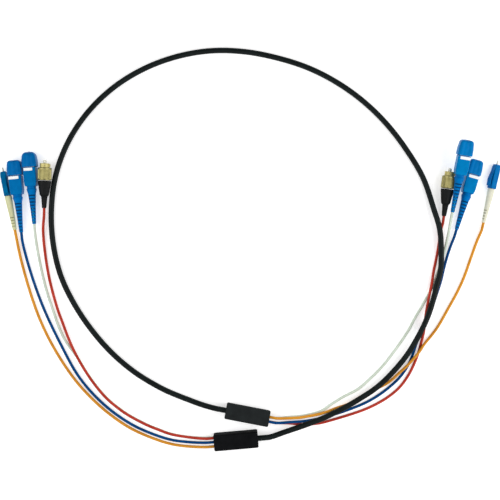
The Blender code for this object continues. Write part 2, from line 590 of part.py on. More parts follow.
def add_fc_connector(end):
    """Add the body with its key, the coupling nut, the ferrule and the boot of one FC connector."""
    name = f"fc_{end}"
    frame = add_frame(f"{name}_frame", **CONNECTORS["red", end])

    collar_rear = FC_BOOT_LENGTH - FC_BOOT_COLLAR_LENGTH
    boot_profile = [
        (0.0, FC_BOOT_LENGTH),
        (FC_BOOT_COLLAR_RADIUS, FC_BOOT_LENGTH),
        (FC_BOOT_COLLAR_REAR_RADIUS, collar_rear),
        (FC_BOOT_TAIL_FRONT_RADIUS, collar_rear - FC_BOOT_SHOULDER_LENGTH),
        (FC_BOOT_REAR_RADIUS, 0.0),
        (0.0, 0.0),
    ]
    turn(add_piece(f"{name}_boot", turned_mesh(name, boot_profile), "black_boot", frame), ROUND_STEPS)

    nut_rear = FC_BOOT_LENGTH + CLEARANCE
    nut_front = nut_rear + FC_NUT_LENGTH
    lip_front = nut_rear + FC_NUT_LIP
    lip_bore = bore_radius(FC_STEM_RADIUS, ROUND_STEPS)
    nut_bore = bore_radius(FC_FLANGE_RADIUS, ROUND_STEPS)
    nut_profile = [
        (nut_bore, nut_front),
        (FC_NUT_RADIUS - FC_NUT_CHAMFER, nut_front),
        (FC_NUT_RADIUS, nut_front - FC_NUT_CHAMFER),
        (FC_NUT_RADIUS, nut_rear + FC_NUT_CHAMFER),
        (FC_NUT_RADIUS - FC_NUT_CHAMFER, nut_rear),
        (lip_bore, nut_rear),
        (lip_bore, lip_front),
        (nut_bore, lip_front),
    ]
    nut = add_piece(f"{name}_nut", turned_mesh(name, nut_profile, closed=True), "nut_metal", frame)
    turn(nut, ROUND_STEPS)

    flange_rear = lip_front + CLEARANCE
    flange_front = flange_rear + FC_FLANGE_THICKNESS
    barrel_front = nut_front + FC_BARREL_REACH
    recess_floor = barrel_front - FC_RECESS_DEPTH
    body_profile = [
        (0.0, recess_floor),
        (FC_RECESS_RADIUS, recess_floor),
        (FC_RECESS_RADIUS, barrel_front),
        (FC_BARREL_RADIUS, barrel_front),
        (FC_BARREL_RADIUS, flange_front),
        (FC_FLANGE_RADIUS, flange_front),
        (FC_FLANGE_RADIUS, flange_rear),
        (FC_STEM_RADIUS, flange_rear),
        (FC_STEM_RADIUS, nut_rear),
        (0.0, nut_rear),
    ]
    body = add_piece(f"{name}_body", turned_mesh(name, body_profile), "body_metal", frame)
    turn(body, ROUND_STEPS)
    key_rear, key_front = nut_front + FC_KEY_NUT_GAP, barrel_front - FC_KEY_SETBACK
    key_sections = [(FC_KEY_HEIGHT * 2.0, FC_KEY_WIDTH, key_rear), (FC_KEY_HEIGHT * 2.0, FC_KEY_WIDTH, key_front)]
    key = block_mesh("key", key_sections)
    key.transform(Matrix.Translation((-FC_BARREL_RADIUS, 0.0, 0.0)))
    combine(body, f"{name}_key", key, "UNION")

    tip = barrel_front + FC_FERRULE_REACH
    add_ferrule(f"{name}_ferrule", frame, WIDE_FERRULE_RADIUS, recess_floor + CLEARANCE, tip)
    return frame


def route_between(start, start_way, inner, finish, finish_way, lead):
    """Give a cord's points: a straight lead at each end and those that its route passes."""
    points = [start + start_way * CLEARANCE, start + start_way * lead]
    points += [Vector(point) * MM for point in inner]
    points += [finish - finish_way * lead, finish - finish_way * CLEARANCE]
    return points


clear_scene()
parts = make_collection("fibre_optic_cable")
cutters = make_collection("cutters")

sleeve_frames = {end: add_sleeve(end) for end in SLEEVES}
connector_frames = {}
for end in SLEEVES:
    connector_frames["orange", end] = add_lc_connector(end)
    connector_frames["blue", end] = add_sc_connector("blue", end)
    connector_frames["white", end] = add_sc_connector("white", end)
    connector_frames["red", end] = add_fc_connector(end)

for (colour, end), inner in PIGTAIL_ROUTES.items():
    sleeve = sleeve_frames[end].matrix_world
    plug = connector_frames[colour, end].matrix_world
    across, up = FAN_EXITS[end][colour]
    exit_point = sleeve @ Vector((across * MM, up * MM, SLEEVE_LENGTH))
    route = route_between(
        exit_point, sleeve.col[2].to_3d(), inner, plug.translation, plug.col[2].to_3d(), PIGTAIL_LEAD
    )
    add_cord(
        f"pigtail_{colour}_{end}", route, PIGTAIL_DIAMETER, PIGTAIL_POINT_SPACING, 2, f"{colour}_jacket"
    )

cable_start = sleeve_frames["right"].matrix_world
cable_finish = sleeve_frames["left"].matrix_world
cable_route = route_between(
    cable_start.translation,
    -cable_start.col[2].to_3d(),
    CABLE_ROUTE,
    cable_finish.translation,
    cable_finish.col[2].to_3d(),
    CABLE_LEAD,
)
add_cord("main_cable", cable_route, CABLE_DIAMETER, CABLE_POINT_SPACING, 3, "black_jacket")
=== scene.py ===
"""Outdoor fibre optic cable lying in one loop, dressed for its portrait from straight above.

The black cable runs from one breakout sleeve round the loop to the other. Each sleeve lets out four
pigtails: orange to an LC connector, blue and white to SC connectors under dust caps, red to an FC
connector. Sizes in the classes are millimetres, and meshes are made in metres.
"""

import logging
import math
from dataclasses import dataclass
from enum import Enum
from typing import ClassVar

import bmesh
import bpy
from mathutils import Matrix, Vector


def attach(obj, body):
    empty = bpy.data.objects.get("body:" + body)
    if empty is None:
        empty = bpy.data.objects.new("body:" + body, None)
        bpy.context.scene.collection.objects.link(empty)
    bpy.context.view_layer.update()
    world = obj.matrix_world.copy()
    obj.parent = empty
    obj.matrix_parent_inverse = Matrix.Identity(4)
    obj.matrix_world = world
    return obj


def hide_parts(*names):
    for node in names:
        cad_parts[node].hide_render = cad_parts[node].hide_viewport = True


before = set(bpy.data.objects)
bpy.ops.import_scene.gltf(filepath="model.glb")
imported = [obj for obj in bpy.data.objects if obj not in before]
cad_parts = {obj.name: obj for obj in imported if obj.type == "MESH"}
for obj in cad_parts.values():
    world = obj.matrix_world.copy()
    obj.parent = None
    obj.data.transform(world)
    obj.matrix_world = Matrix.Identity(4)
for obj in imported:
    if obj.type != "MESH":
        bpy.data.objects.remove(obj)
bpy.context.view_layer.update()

LOG = logging.getLogger("fibre_cable")

MM = 0.001
CLEARANCE = 0.3
ROUND_STEPS = 64
# Cuts between two points of a cord's route, before it is read evenly
CURVE_CUTS = 16
# How much of a profile's leg the rounding of a corner may take
EASE_SHARE = 0.45
# Edges that turn by more degrees than this stay sharp
SHARP_ANGLE = 38.0
# Points of a mesh that are closer than this, in metres, become one
MERGE_DISTANCE = 1e-7
# The tightest corner and half of the shortest flat of a rounded rectangle
LEAST_CORNER = 0.05
LEAST_FLAT = 0.02
# The phase that Blender's wave texture runs through in one unit at a scale of 1
WAVE_PHASE = 20.0
# The share of its depth along a straight knurl's tooth, from crest to groove and back
KNURL_TOOTH = (0.0, 0.0, 0.45, 1.0, 1.0, 0.45)

Point = tuple[float, float, float]
Profile = list[tuple[float, float]]
Ring = list[Vector]
Material = bpy.types.Material
Node = bpy.types.Node
Socket = bpy.types.NodeSocket
Piece = bpy.types.Object
Mesh = bpy.types.Mesh


class End(Enum):
    """The two ends of the cable, as they lie in the picture."""

    LEFT = "left"
    RIGHT = "right"


class Fibre(Enum):
    """The four pigtails of one end, by the colour of their jacket."""

    ORANGE = "orange"
    BLUE = "blue"
    WHITE = "white"
    RED = "red"


# Finishes ---------------------------------------------------------------------------------------


def linear(colour: str) -> tuple[float, float, float, float]:
    """Turn an sRGB hex colour into linear light.

    Args:
        colour: Six hex digits after a hash.

    Returns:
        Linear red, green and blue, and full alpha.
    """
    channels = [int(colour[i : i + 2], 16) / 255.0 for i in (1, 3, 5)]
    red, green, blue = (c / 12.92 if c <= 0.04045 else ((c + 0.055) / 1.055) ** 2.4 for c in channels)
    return red, green, blue, 1.0


def per_metre(size: float) -> float:
    """Give the texture scale of a pattern whose feature is this many millimetres."""
    return 1.0 / (size * MM)


def add_node(
    material: Material,
    kind: str,
    settings: dict[str | int, object] | None = None,
    links: dict[str | int, Socket] | None = None,
) -> Node:
    """Add one node with its settings and links.

    Args:
        material: The material whose tree takes the node.
        kind: The node's type.
        settings: Values by property name, or by input name or number.
        links: Sockets that feed the node, by input name or number.

    Returns:
        The new node.
    """
    node = material.node_tree.nodes.new(kind)
    for key, value in (settings or {}).items():
        if isinstance(key, str) and key in node.bl_rna.properties:
            setattr(node, key, value)
        else:
            node.inputs[key].default_value = value
    for key, socket in (links or {}).items():
        material.node_tree.links.new(socket, node.inputs[key])
    return node


def add_noise(material: Material, size: float, detail: float, rough: float) -> Socket:
    """Add a noise pattern in the piece's own frame.

    Args:
        material: The material that takes it.
        size: The size of its features in millimetres.
        detail: How many finer layers lie on the first.
        rough: How strong those layers are.

    Returns:
        The pattern's strength.
    """
    place = add_node(material, "ShaderNodeTexCoord").outputs["Object"]
    settings = {"Scale": per_metre(size), "Detail": detail, "Roughness": rough}
    return add_node(material, "ShaderNodeTexNoise", settings, {"Vector": place}).outputs["Fac"]


def raise_bump(material: Material, shader: Node, pattern: Socket, height: float, strength: float) -> None:
    """Raise a pattern on the surface, over what is raised there already.

    Args:
        material: The material that is being made.
        shader: Its Principled shader.
        pattern: The pattern.
        height: Its height in millimetres.
        strength: How far the light follows it.
    """
    below = {"Normal": link.from_socket for link in shader.inputs["Normal"].links}
    settings = {"Strength": strength, "Distance": height * MM}
    bump = add_node(material, "ShaderNodeBump", settings, {"Height": pattern, **below})
    material.node_tree.links.new(bump.outputs["Normal"], shader.inputs["Normal"])


@dataclass(frozen=True)
class Skin:
    """How a material's surface varies, with sizes in millimetres.

    Attributes:
        patch: How far apart its patches of colour and wear are.
        spread: How far its roughness goes up and down.
        grain: The size of its grain.
        relief: The height of its grain.
        ior: How strongly it bends light, where that isn't the shader's own.
    """

    patch: float
    spread: float
    grain: float
    relief: float
    ior: float | None = None


@dataclass(frozen=True)
class Finish:
    """A real material and how its surface was made.

    Attributes:
        name: What the material is called.
        colour: Its usual colour.
        shade: The colour it drifts to from place to place.
        roughness: Its usual roughness.
        slot: The record's material slot, where it has one; not used.
        gloss: How strongly its skin mirrors, against a bare skin's 0.5.
        tint: The colour that its pigment leaves in the mirrored light.
    """

    skin: ClassVar[Skin]
    name: str
    colour: str
    shade: str
    roughness: float
    slot: str = ""
    gloss: float = 0.5
    tint: str = "#FFFFFF"

    def make(self) -> Material:
        """Make the material, or find it if it is made already.

        Returns:
            The material.
        """
        made = bpy.data.materials.get(self.name)
        if made is not None:
            return made
        material = bpy.data.materials.new(self.name)
        material.use_nodes = True
        shader = material.node_tree.nodes["Principled BSDF"]
        shader.inputs["Specular IOR Level"].default_value = self.gloss
        shader.inputs["Specular Tint"].default_value = linear(self.tint)
        if self.skin.ior is not None:
            shader.inputs["IOR"].default_value = self.skin.ior
        self.drift(material, shader)
        self.roughen(material, shader)
        self.dress(material, shader)
        return material

    def drift(self, material: Material, shader: Node) -> None:
        """Let colour and roughness wander slowly over the surface.

        Args:
            material: The material that is being made.
            shader: Its Principled shader.
        """
        cloud = add_noise(material, self.skin.patch, 3.0, 0.55)
        blend = add_node(material, "ShaderNodeValToRGB", links={"Fac": cloud})
        shaded, usual = blend.color_ramp.elements
        shaded.position, shaded.color = 0.35, linear(self.shade)
        usual.position, usual.color = 0.62, linear(self.colour)
        low, high = self.roughness - self.skin.spread, self.roughness + self.skin.spread
        wear = add_node(
            material,
            "ShaderNodeMapRange",
            {"From Min": 0.3, "From Max": 0.7, "To Min": low, "To Max": high},
            {"Value": cloud},
        )
        material.node_tree.links.new(blend.outputs["Color"], shader.inputs["Base Color"])
        material.node_tree.links.new(wear.outputs["Result"], shader.inputs["Roughness"])

    def roughen(self, material: Material, shader: Node) -> None:
        """Raise a fine even grain."""
        raise_bump(material, shader, add_noise(material, self.skin.grain, 2.0, 0.6), self.skin.relief, 1.0)

    def dress(self, material: Material, shader: Node) -> None:
        """Add what this kind of material has beyond drift and grain: nothing here."""


@dataclass(frozen=True)
class ExtrudedJacket(Finish):
    """A cord's jacket, drawn warm through a die and cooled in water.

    It is smooth with a low sheen, its colour drifts slowly along the cord, and the die leaves a slight
    orange peel.
    """

    skin: ClassVar[Skin] = Skin(patch=9.0, spread=0.06, grain=0.5, relief=0.012, ior=1.5)


@dataclass(frozen=True)
class MouldedPlastic(Finish):
    """A hard plastic, injected into a spark-eroded mould.

    The mould's fine pits, drawn twice as coarse as they are so that they show, give it an even satin,
    and the flow of the melt leaves faint clouds.
    """

    skin: ClassVar[Skin] = Skin(patch=5.0, spread=0.05, grain=0.25, relief=0.008, ior=1.55)


@dataclass(frozen=True)
class SoftVinyl(Finish):
    """Plasticised vinyl, dipped or moulded soft.

    Its skin is waxy and softly uneven.
    """

    skin: ClassVar[Skin] = Skin(patch=3.5, spread=0.06, grain=0.9, relief=0.02, ior=1.53)

    def dress(self, material: Material, shader: Node) -> None:
        """Add the thin wax that sweats out of soft vinyl."""
        shader.inputs["Coat Weight"].default_value = 0.04
        shader.inputs["Coat Roughness"].default_value = 0.35


@dataclass(frozen=True)
class MouldedRubber(Finish):
    """A thermoplastic rubber, moulded over the cords.

    It is matt and darker in its pores, and handling polishes it in patches.
    """

    skin: ClassVar[Skin] = Skin(patch=6.0, spread=0.08, grain=0.35, relief=0.02, ior=1.52)


@dataclass(frozen=True)
class TurnedMetal(Finish):
    """Nickel-plated brass from a lathe.

    The tool's turns stay under the plating as rings round the axis, and the plating is warm, with dull
    patches.

    Attributes:
        turn: The width of one of the tool's turns, drawn several times its real one so that it shows.
        turn_height: The height of a turn.
    """

    skin: ClassVar[Skin] = Skin(patch=2.5, spread=0.07, grain=0.3, relief=0.004)
    turn: ClassVar[float] = 0.44 * math.pi
    turn_height: ClassVar[float] = 0.006

    def dress(self, material: Material, shader: Node) -> None:
        """Add the metal's mirror and the tool's turns over the grain.

        Args:
            material: The material that is being made.
            shader: Its Principled shader.
        """
        shader.inputs["Metallic"].default_value = 1.0
        shader.inputs["Anisotropic"].default_value = 0.35
        bands = {"wave_type": "BANDS", "bands_direction": "Z", "wave_profile": "SIN"}
        scale = 2.0 * math.pi / WAVE_PHASE * per_metre(self.turn)
        bands |= {"Scale": scale, "Distortion": 0.6, "Detail": 1.0}
        place = add_node(material, "ShaderNodeTexCoord").outputs["Object"]
        turns = add_node(material, "ShaderNodeTexWave", bands, {"Vector": place})
        raise_bump(material, shader, turns.outputs["Fac"], self.turn_height, 0.6)


@dataclass(frozen=True)
class GroundCeramic(Finish):
    """Zirconia, sintered and then ground and polished.

    It is dense and bright, close to porcelain, with a glassy skin.
    """

    skin: ClassVar[Skin] = Skin(patch=1.5, spread=0.03, grain=0.2, relief=0.001, ior=2.1)


@dataclass(frozen=True)
class PrintedInk(Finish):
    """White ink, pad-printed on the moulding.

    It lies thin, chalky and uneven.
    """

    skin: ClassVar[Skin] = Skin(patch=1.2, spread=0.05, grain=0.15, relief=0.006, ior=1.5)


@dataclass(frozen=True)
class PaperSweep(Finish):
    """White matt paper with its tooth, under a light so strong that it prints as white."""

    skin: ClassVar[Skin] = Skin(patch=60.0, spread=0.02, grain=0.8, relief=0.01)
    glow: ClassVar[float] = 0.5

    def dress(self, material: Material, shader: Node) -> None:
        """Add the light that comes through the paper."""
        shader.inputs["Emission Color"].default_value = (1.0, 1.0, 1.0, 1.0)
        shader.inputs["Emission Strength"].default_value = self.glow


# The tint that blue pigment leaves in the light mirrored by a housing, cap or boot
BLUE_SHEEN = "#2E8CE8"

POLYETHYLENE = ExtrudedJacket("black polyethylene jacket", "#121A1A", "#0B1212", 0.45, "black_jacket", 0.12)
PIGTAIL_JACKETS = {
    Fibre.ORANGE: ExtrudedJacket("orange pvc jacket", "#DE9834", "#D08A2A", 0.42, "orange_jacket", 0.2, "#FFB44A"),
    Fibre.BLUE: ExtrudedJacket("blue pvc jacket", "#0A4682", "#083C72", 0.42, "blue_jacket", 0.2, "#3E98F0"),
    Fibre.WHITE: ExtrudedJacket("white pvc jacket", "#D6E1D2", "#C9D4C3", 0.45, "white_jacket", 0.3),
    Fibre.RED: ExtrudedJacket("red pvc jacket", "#BE4234", "#AC3628", 0.42, "red_jacket", 0.2, "#FF6C52"),
}
# The white jacket where a slot bares it is painted cyan: painted light, for the light that comes through the blue
# rubber
PAINTED_BLUE_LIGHT_JACKET = ExtrudedJacket("white pvc jacket in painted blue light", "#35B8DA", "#2AA8CC", 0.45, "white_jacket", 0.2)
# Both sleeves are the same black rubber; the right one is painted lighter, as painted light on its tilted top
SLEEVE_RUBBERS = {
    End.LEFT: MouldedRubber("black sleeve rubber", "#141517", "#0D0E10", 0.8, "black_sleeve", 0.04),
    End.RIGHT: MouldedRubber("black sleeve rubber painted lighter", "#212526", "#191C1D", 0.7, "black_sleeve", 0.1),
}
# The right end's housings and caps are the same plastics as the left's, painted brighter as painted light falling
# stronger on that end
HOUSING_PLASTICS = {
    End.LEFT: MouldedPlastic("blue pbt housing", "#0070B0", "#0067A4", 0.38, "blue_housing", 0.3, BLUE_SHEEN),
    End.RIGHT: MouldedPlastic("blue pbt housing painted brighter", "#007DBC", "#0074B0", 0.38, "blue_housing", 0.3, BLUE_SHEEN),
}
CAP_VINYLS = {
    End.LEFT: SoftVinyl("blue vinyl cap", "#006BB0", "#0061A2", 0.42, "blue_cap", 0.3, BLUE_SHEEN),
    End.RIGHT: SoftVinyl("blue vinyl cap painted brighter", "#0079BE", "#006FB0", 0.42, "blue_cap", 0.2, BLUE_SHEEN),
}
BOOT_RUBBER = MouldedRubber("blue boot rubber", "#0072BC", "#0066AC", 0.5, "blue_boot", 0.25, BLUE_SHEEN)
# The skin deep in the slots is the same rubber, painted darker as painted shade in the recesses, and matt
SLOT_SHADE_RUBBER = MouldedRubber("blue boot rubber in painted slot shade", "#004A7E", "#004072", 0.7, "blue_boot", 0.1)
LC_SLOT_SHADE_RUBBER = MouldedRubber("cream boot rubber in painted slot shade", "#A8A680", "#989672", 0.7, "white_boot", 0.1)
FRAME_PLASTIC = MouldedPlastic("white pbt plug frame", "#D6D6D0", "#CCCCC4", 0.4, "plug_frame", 0.4)
LC_PLASTICS = {
    End.LEFT: MouldedPlastic("teal pei housing", "#00669A", "#005C8C", 0.36, "teal_housing", 0.3, "#2E9CD8"),
    End.RIGHT: MouldedPlastic("blue pei housing", "#006EB0", "#0062A2", 0.36, "teal_housing", 0.3, BLUE_SHEEN),
}
LC_BOOTS = {
    End.LEFT: MouldedRubber("cream boot rubber", "#D8D8AB", "#CCCB9C", 0.55, "white_boot", 0.3),
    End.RIGHT: MouldedRubber("white boot rubber", "#E4E3CF", "#D8D7C0", 0.55, "white_boot", 0.3),
}
BLACK_BOOT = MouldedRubber("black boot rubber", "#171919", "#101212", 0.6, "black_boot", 0.12)
NUT_BRASS = TurnedMetal("plated brass nut", "#A59D6A", "#908858", 0.4, "nut_metal")
BODY_BRASS = TurnedMetal("plated brass body", "#CCC184", "#B8AE74", 0.55, "body_metal")
ZIRCONIA = GroundCeramic("zirconia ferrule", "#DEDCCB", "#D6D3C0", 0.16, "ceramic")
WHITE_INK = PrintedInk("white printing ink", "#FFFEFC", "#F8F7F4", 0.55, "", 0.3)
PAPER = PaperSweep("white paper sweep", "#EEEEEE", "#EBEBEB", 0.9, "", 0.0)


# Shapes -----------------------------------------------------------------------------------------


@dataclass(frozen=True)
class Placement:
    """Where a straight piece lies.

    Attributes:
        at: The middle of its rear end.
        lean: Degrees clockwise from +Y, seen from above.
        pitch: Degrees that its front is raised.
        roll: Degrees about its own axis.
    """

    at: Point
    lean: float
    pitch: float = 0.0
    roll: float = 0.0

    def matrix(self) -> Matrix:
        """Give the frame with +Z along the axis, +Y up from its top and +X to its left.

        Returns:
            The frame's matrix in metres.
        """
        lean, pitch = math.radians(self.lean), math.radians(self.pitch)
        forward = Vector((math.sin(lean) * math.cos(pitch), math.cos(lean) * math.cos(pitch), math.sin(pitch)))
        side = Vector((0.0, 0.0, 1.0)).cross(forward).normalized()
        turn = Matrix((side, forward.cross(side), forward)).transposed().to_4x4()
        roll = Matrix.Rotation(math.radians(self.roll), 4, "Z")
        return Matrix.Translation(Vector(self.at) * MM) @ turn @ roll

    def point(self, across: float, up: float, along: float) -> Vector:
        """Give a point of the piece in metres of the whole model."""
        return self.matrix() @ Vector((across * MM, up * MM, along * MM))

    def forward(self) -> Vector:
        """Give the direction of the axis."""
        return self.matrix().col[2].to_3d()


def rounded_rectangle(
    width: float, height: float, corner: float, level: float, arc_steps: int = 6, flat_steps: int = 1
) -> Ring:
    """Give one ring of a rounded rectangle about the axis.

    Args:
        width: Its size along X.
        height: Its size along Y.
        corner: The radius of its corners.
        level: Its place along the axis.
        arc_steps: Edges in each corner.
        flat_steps: Edges in each flat.

    Returns:
        The ring's points in metres, going round from the first corner.
    """
    corner = max(LEAST_CORNER, min(corner, width / 2.0 - LEAST_FLAT, height / 2.0 - LEAST_FLAT))
    arcs: list[Ring] = []
    for quarter in range(4):
        middle_x = (width / 2.0 - corner) * (1, -1, -1, 1)[quarter]
        middle_y = (height / 2.0 - corner) * (1, 1, -1, -1)[quarter]
        turns = [(quarter + step / arc_steps) * math.pi / 2.0 for step in range(arc_steps + 1)]
        arcs.append(
            [Vector((middle_x + corner * math.cos(a), middle_y + corner * math.sin(a), level)) for a in turns]
        )
    ring: Ring = []
    for arc, following in zip(arcs, arcs[1:] + arcs[:1]):
        ring += arc
        ring += [arc[-1].lerp(following[0], step / flat_steps) for step in range(1, flat_steps)]
    return [point * MM for point in ring]


def polar(radius: float, turn: float, level: float) -> Vector:
    """Give the point at a distance from the axis and an angle round it, in metres."""
    return Vector((radius * math.cos(turn), radius * math.sin(turn), level)) * MM


def corner_key(point: Vector) -> tuple[float, ...]:
    """Give a point's coordinates rounded, so that the same corner can be found again in a mesh."""
    return tuple(round(coordinate, 8) for coordinate in point)


def circle(radius: float, level: float, steps: int = ROUND_STEPS) -> Ring:
    """Give one ring of a circle about the axis, in metres."""
    return [polar(radius, 2.0 * math.pi * step / steps, level) for step in range(steps)]


def circle_within(ring: Ring, radius: float, level: float) -> Ring:
    """Give a circle whose points face those of another ring, in metres."""
    return [polar(radius, math.atan2(point.y, point.x), level) for point in ring]


def loft(name: str, rings: list[Ring], joined: bool = False) -> Mesh:
    """Skin a row of rings.

    Args:
        name: The mesh's name.
        rings: Rings of as many points each, in order along the skin.
        joined: Whether the last ring meets the first, as round a through bore.

    Returns:
        A closed mesh.
    """
    form = bmesh.new()
    rows = [[form.verts.new(point) for point in ring] for ring in rings]
    pairs = list(zip(rows, rows[1:])) + ([(rows[-1], rows[0])] if joined else [])
    for near, far in pairs:
        for i in range(len(near)):
            j = (i + 1) % len(near)
            form.faces.new((near[i], near[j], far[j], far[i]))
    if not joined:
        form.faces.new(rows[0])
        form.faces.new(rows[-1])
    bmesh.ops.remove_doubles(form, verts=form.verts, dist=MERGE_DISTANCE)
    bmesh.ops.recalc_face_normals(form, faces=form.faces)
    mesh = bpy.data.meshes.new(name)
    form.to_mesh(mesh)
    form.free()
    return mesh


def eased(profile: Profile, radius: float, steps: int = 3) -> Profile:
    """Round the inner corners of a profile.

    Args:
        profile: Radius and level pairs.
        radius: How far from a corner its rounding starts.
        steps: Edges in each rounding.

    Returns:
        The profile with its corners rounded.
    """
    soft = [profile[0]]
    for before, corner, after in zip(profile, profile[1:], profile[2:]):
        here = Vector(corner)
        back, ahead = Vector(before) - here, Vector(after) - here
        reach = min(radius, back.length * EASE_SHARE, ahead.length * EASE_SHARE)
        start, stop = here + back.normalized() * reach, here + ahead.normalized() * reach
        for step in range(steps + 1):
            share = step / steps
            spot = start.lerp(here, share).lerp(here.lerp(stop, share), share)
            soft.append((spot.x, spot.y))
    soft.append(profile[-1])
    return soft


def turned(name: str, profile: Profile, steps: int = ROUND_STEPS, joined: bool = False) -> Mesh:
    """Turn a profile of radius and level pairs round the axis."""
    return loft(name, [circle(max(radius, 0.0), level, steps) for radius, level in profile], joined)


def round_off(form: bmesh.types.BMesh, edges: set[bmesh.types.BMEdge], radius: float) -> None:
    """Round edges that were drawn sharp."""
    bmesh.ops.bevel(form, geom=list(edges), offset=radius * MM, segments=2, profile=0.5, affect="EDGES")


def straight(rear: float, front: float, size: float) -> Profile:
    """Give the stations of a size that stays the same from rear to front."""
    return [(rear, size), (front, size)]


def between(stations: Profile, level: float) -> float:
    """Read a value between stations.

    Args:
        stations: Level and value pairs in order.
        level: The level to read at.

    Returns:
        The value, straight between the stations and even beyond them.
    """
    if level <= stations[0][0]:
        return stations[0][1]
    for (low, first), (high, second) in zip(stations, stations[1:]):
        if level <= high:
            return first + (second - first) * (level - low) / (high - low)
    return stations[-1][1]


@dataclass(frozen=True)
class Block:
    """A block about the axis with rounded corners and ends.

    Attributes:
        widths: Its width at levels along the axis.
        heights: Its height at levels along the axis.
        corner: The radius of its long edges.
        rear_edge: The radius round its rear end.
        front_edge: The radius round its front end.
        flat_steps: Edges in each flat.
        corner_draw: How much of an inset its corners lose too.
    """

    widths: Profile
    heights: Profile
    corner: float
    rear_edge: float
    front_edge: float
    flat_steps: int = 1
    corner_draw: float = 0.6

    def rings(self, edge_steps: int = 5) -> list[Ring]:
        """Give its outer rings from rear to front.

        Args:
            edge_steps: Edges in each rounded end.

        Returns:
            The rings in metres.
        """
        rear, front = self.widths[0][0], self.widths[-1][0]
        places: dict[float, float] = {}
        for step in range(edge_steps + 1):
            swing = step / edge_steps * math.pi / 2.0
            run, sunk = 1.0 - math.cos(swing), 1.0 - math.sin(swing)
            places[rear + self.rear_edge * run] = self.rear_edge * sunk
            places[front - self.front_edge * run] = self.front_edge * sunk
        for level, _ in self.widths + self.heights:
            if rear + self.rear_edge < level < front - self.front_edge:
                places[level] = 0.0
        return [self.ring(level, places[level]) for level in sorted(places)]

    def ring(self, level: float, inset: float = 0.0) -> Ring:
        """Give one outer ring.

        Args:
            level: Its place along the axis.
            inset: How far it is drawn in.

        Returns:
            The ring in metres.
        """
        width = between(self.widths, level) - 2.0 * inset
        height = between(self.heights, level) - 2.0 * inset
        corner = self.corner - self.corner_draw * inset
        return rounded_rectangle(width, height, corner, level, flat_steps=self.flat_steps)


def add_object(name: str, data: bpy.types.ID) -> Piece:
    """Make an object and link it to the scene.

    Args:
        name: Its name.
        data: Its mesh, curve, light or camera.

    Returns:
        The new object.
    """
    made = bpy.data.objects.new(name, data)
    bpy.context.scene.collection.objects.link(made)
    return made


def add_piece(name: str, mesh: Mesh, place: Matrix, finish: Finish, body: str, node: str = "") -> Piece:
    """Add one piece of the object.

    Args:
        name: The piece's name.
        mesh: Its mesh, in its own frame.
        place: Its frame in the model.
        finish: What it is made of.
        body: The body that carries it.
        node: The CAD node that it stands for, where it does.

    Returns:
        The new piece.
    """
    piece = add_object(name, mesh)
    piece.matrix_world = place
    mesh.materials.append(finish.make())
    mesh.shade_smooth()
    mesh.set_sharp_from_angle(angle=math.radians(SHARP_ANGLE))
    even = piece.modifiers.new("Even normals", "WEIGHTED_NORMAL")
    even.keep_sharp = True
    bpy.context.view_layer.update()
    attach(piece, body)
    if node:
        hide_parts(node)
    LOG.info("%s: %d faces, %s, on %s", name, len(mesh.polygons), finish.name, body)
    return piece


@dataclass(frozen=True)
class SlottedBoot:
    """A strain relief moulded round its cord, with slots across it above and below.

    Attributes:
        profile: Its radius at levels from its rear end.
        core: The radius of the cord inside.
        slots: The middle of each slot, and how far its floor is from the axis.
        slot_width: How long a slot is along the axis.
        ease: Half the width of the slope at a slot's rim.
        cuts: How many even lengths it is cut into.
        steps: Points round each ring.
        flank: The sine of the angle below which its sides are never cut.
        skin_depth: How far in a slot its painted shade starts.
    """

    profile: Profile
    core: float
    slots: Profile
    slot_width: float
    ease: float = 0.06
    cuts: int = 40
    steps: int = 48
    flank: float = 0.05
    skin_depth: float = 0.1

    def levels(self) -> list[float]:
        """Give the levels of its rings, closer together at the rims of the slots.

        Returns:
            The levels from rear to front.
        """
        front, ease = self.profile[-1][0], self.ease
        levels = {front * cut / self.cuts for cut in range(self.cuts + 1)}
        levels |= {level for level, _ in self.profile}
        for middle, _ in self.slots:
            low, high = middle - self.slot_width / 2.0, middle + self.slot_width / 2.0
            levels = {level for level in levels if not low - ease < level < high + ease}
            levels |= {low - ease, low + ease, middle, high - ease, high + ease}
        return sorted(levels)

    def mesh(self, name: str) -> Mesh:
        """Make the boot; the cord in its slots is its second material, and the slots' deep skin, painted darker as
        painted shade, is its third.

        Args:
            name: The mesh's name.

        Returns:
            The boot's mesh.
        """
        rings: list[Ring] = []
        cord_spots, slot_shade_spots = set(), set()
        for level in self.levels():
            skin = between(self.profile, level)
            floor = next((d for m, d in self.slots if abs(level - m) < self.slot_width / 2.0), None)
            rings.append([])
            for step in range(self.steps):
                turn = 2.0 * math.pi * step / self.steps
                reach = plane = skin
                if floor is not None and abs(math.sin(turn)) > self.flank:
                    plane = floor / abs(math.sin(turn))
                    reach = min(skin, max(self.core, plane))
                point = polar(reach, turn, level)
                rings[-1].append(point)
                if plane < self.core:
                    cord_spots.add(corner_key(point))
                # Faces this deep in a slot take the third material: painted shade
                if reach < skin - self.skin_depth:
                    slot_shade_spots.add(corner_key(point))
        front = self.profile[-1][0]
        mesh = loft(name, [circle(0.0, 0.0, self.steps), *rings, circle(0.0, front, self.steps)])
        for face in mesh.polygons:
            corners = {corner_key(mesh.vertices[index].co) for index in face.vertices}
            if corners <= cord_spots:
                face.material_index = 1
            elif corners & slot_shade_spots:
                face.material_index = 2
        return mesh


# The cable's ends -------------------------------------------------------------------------------


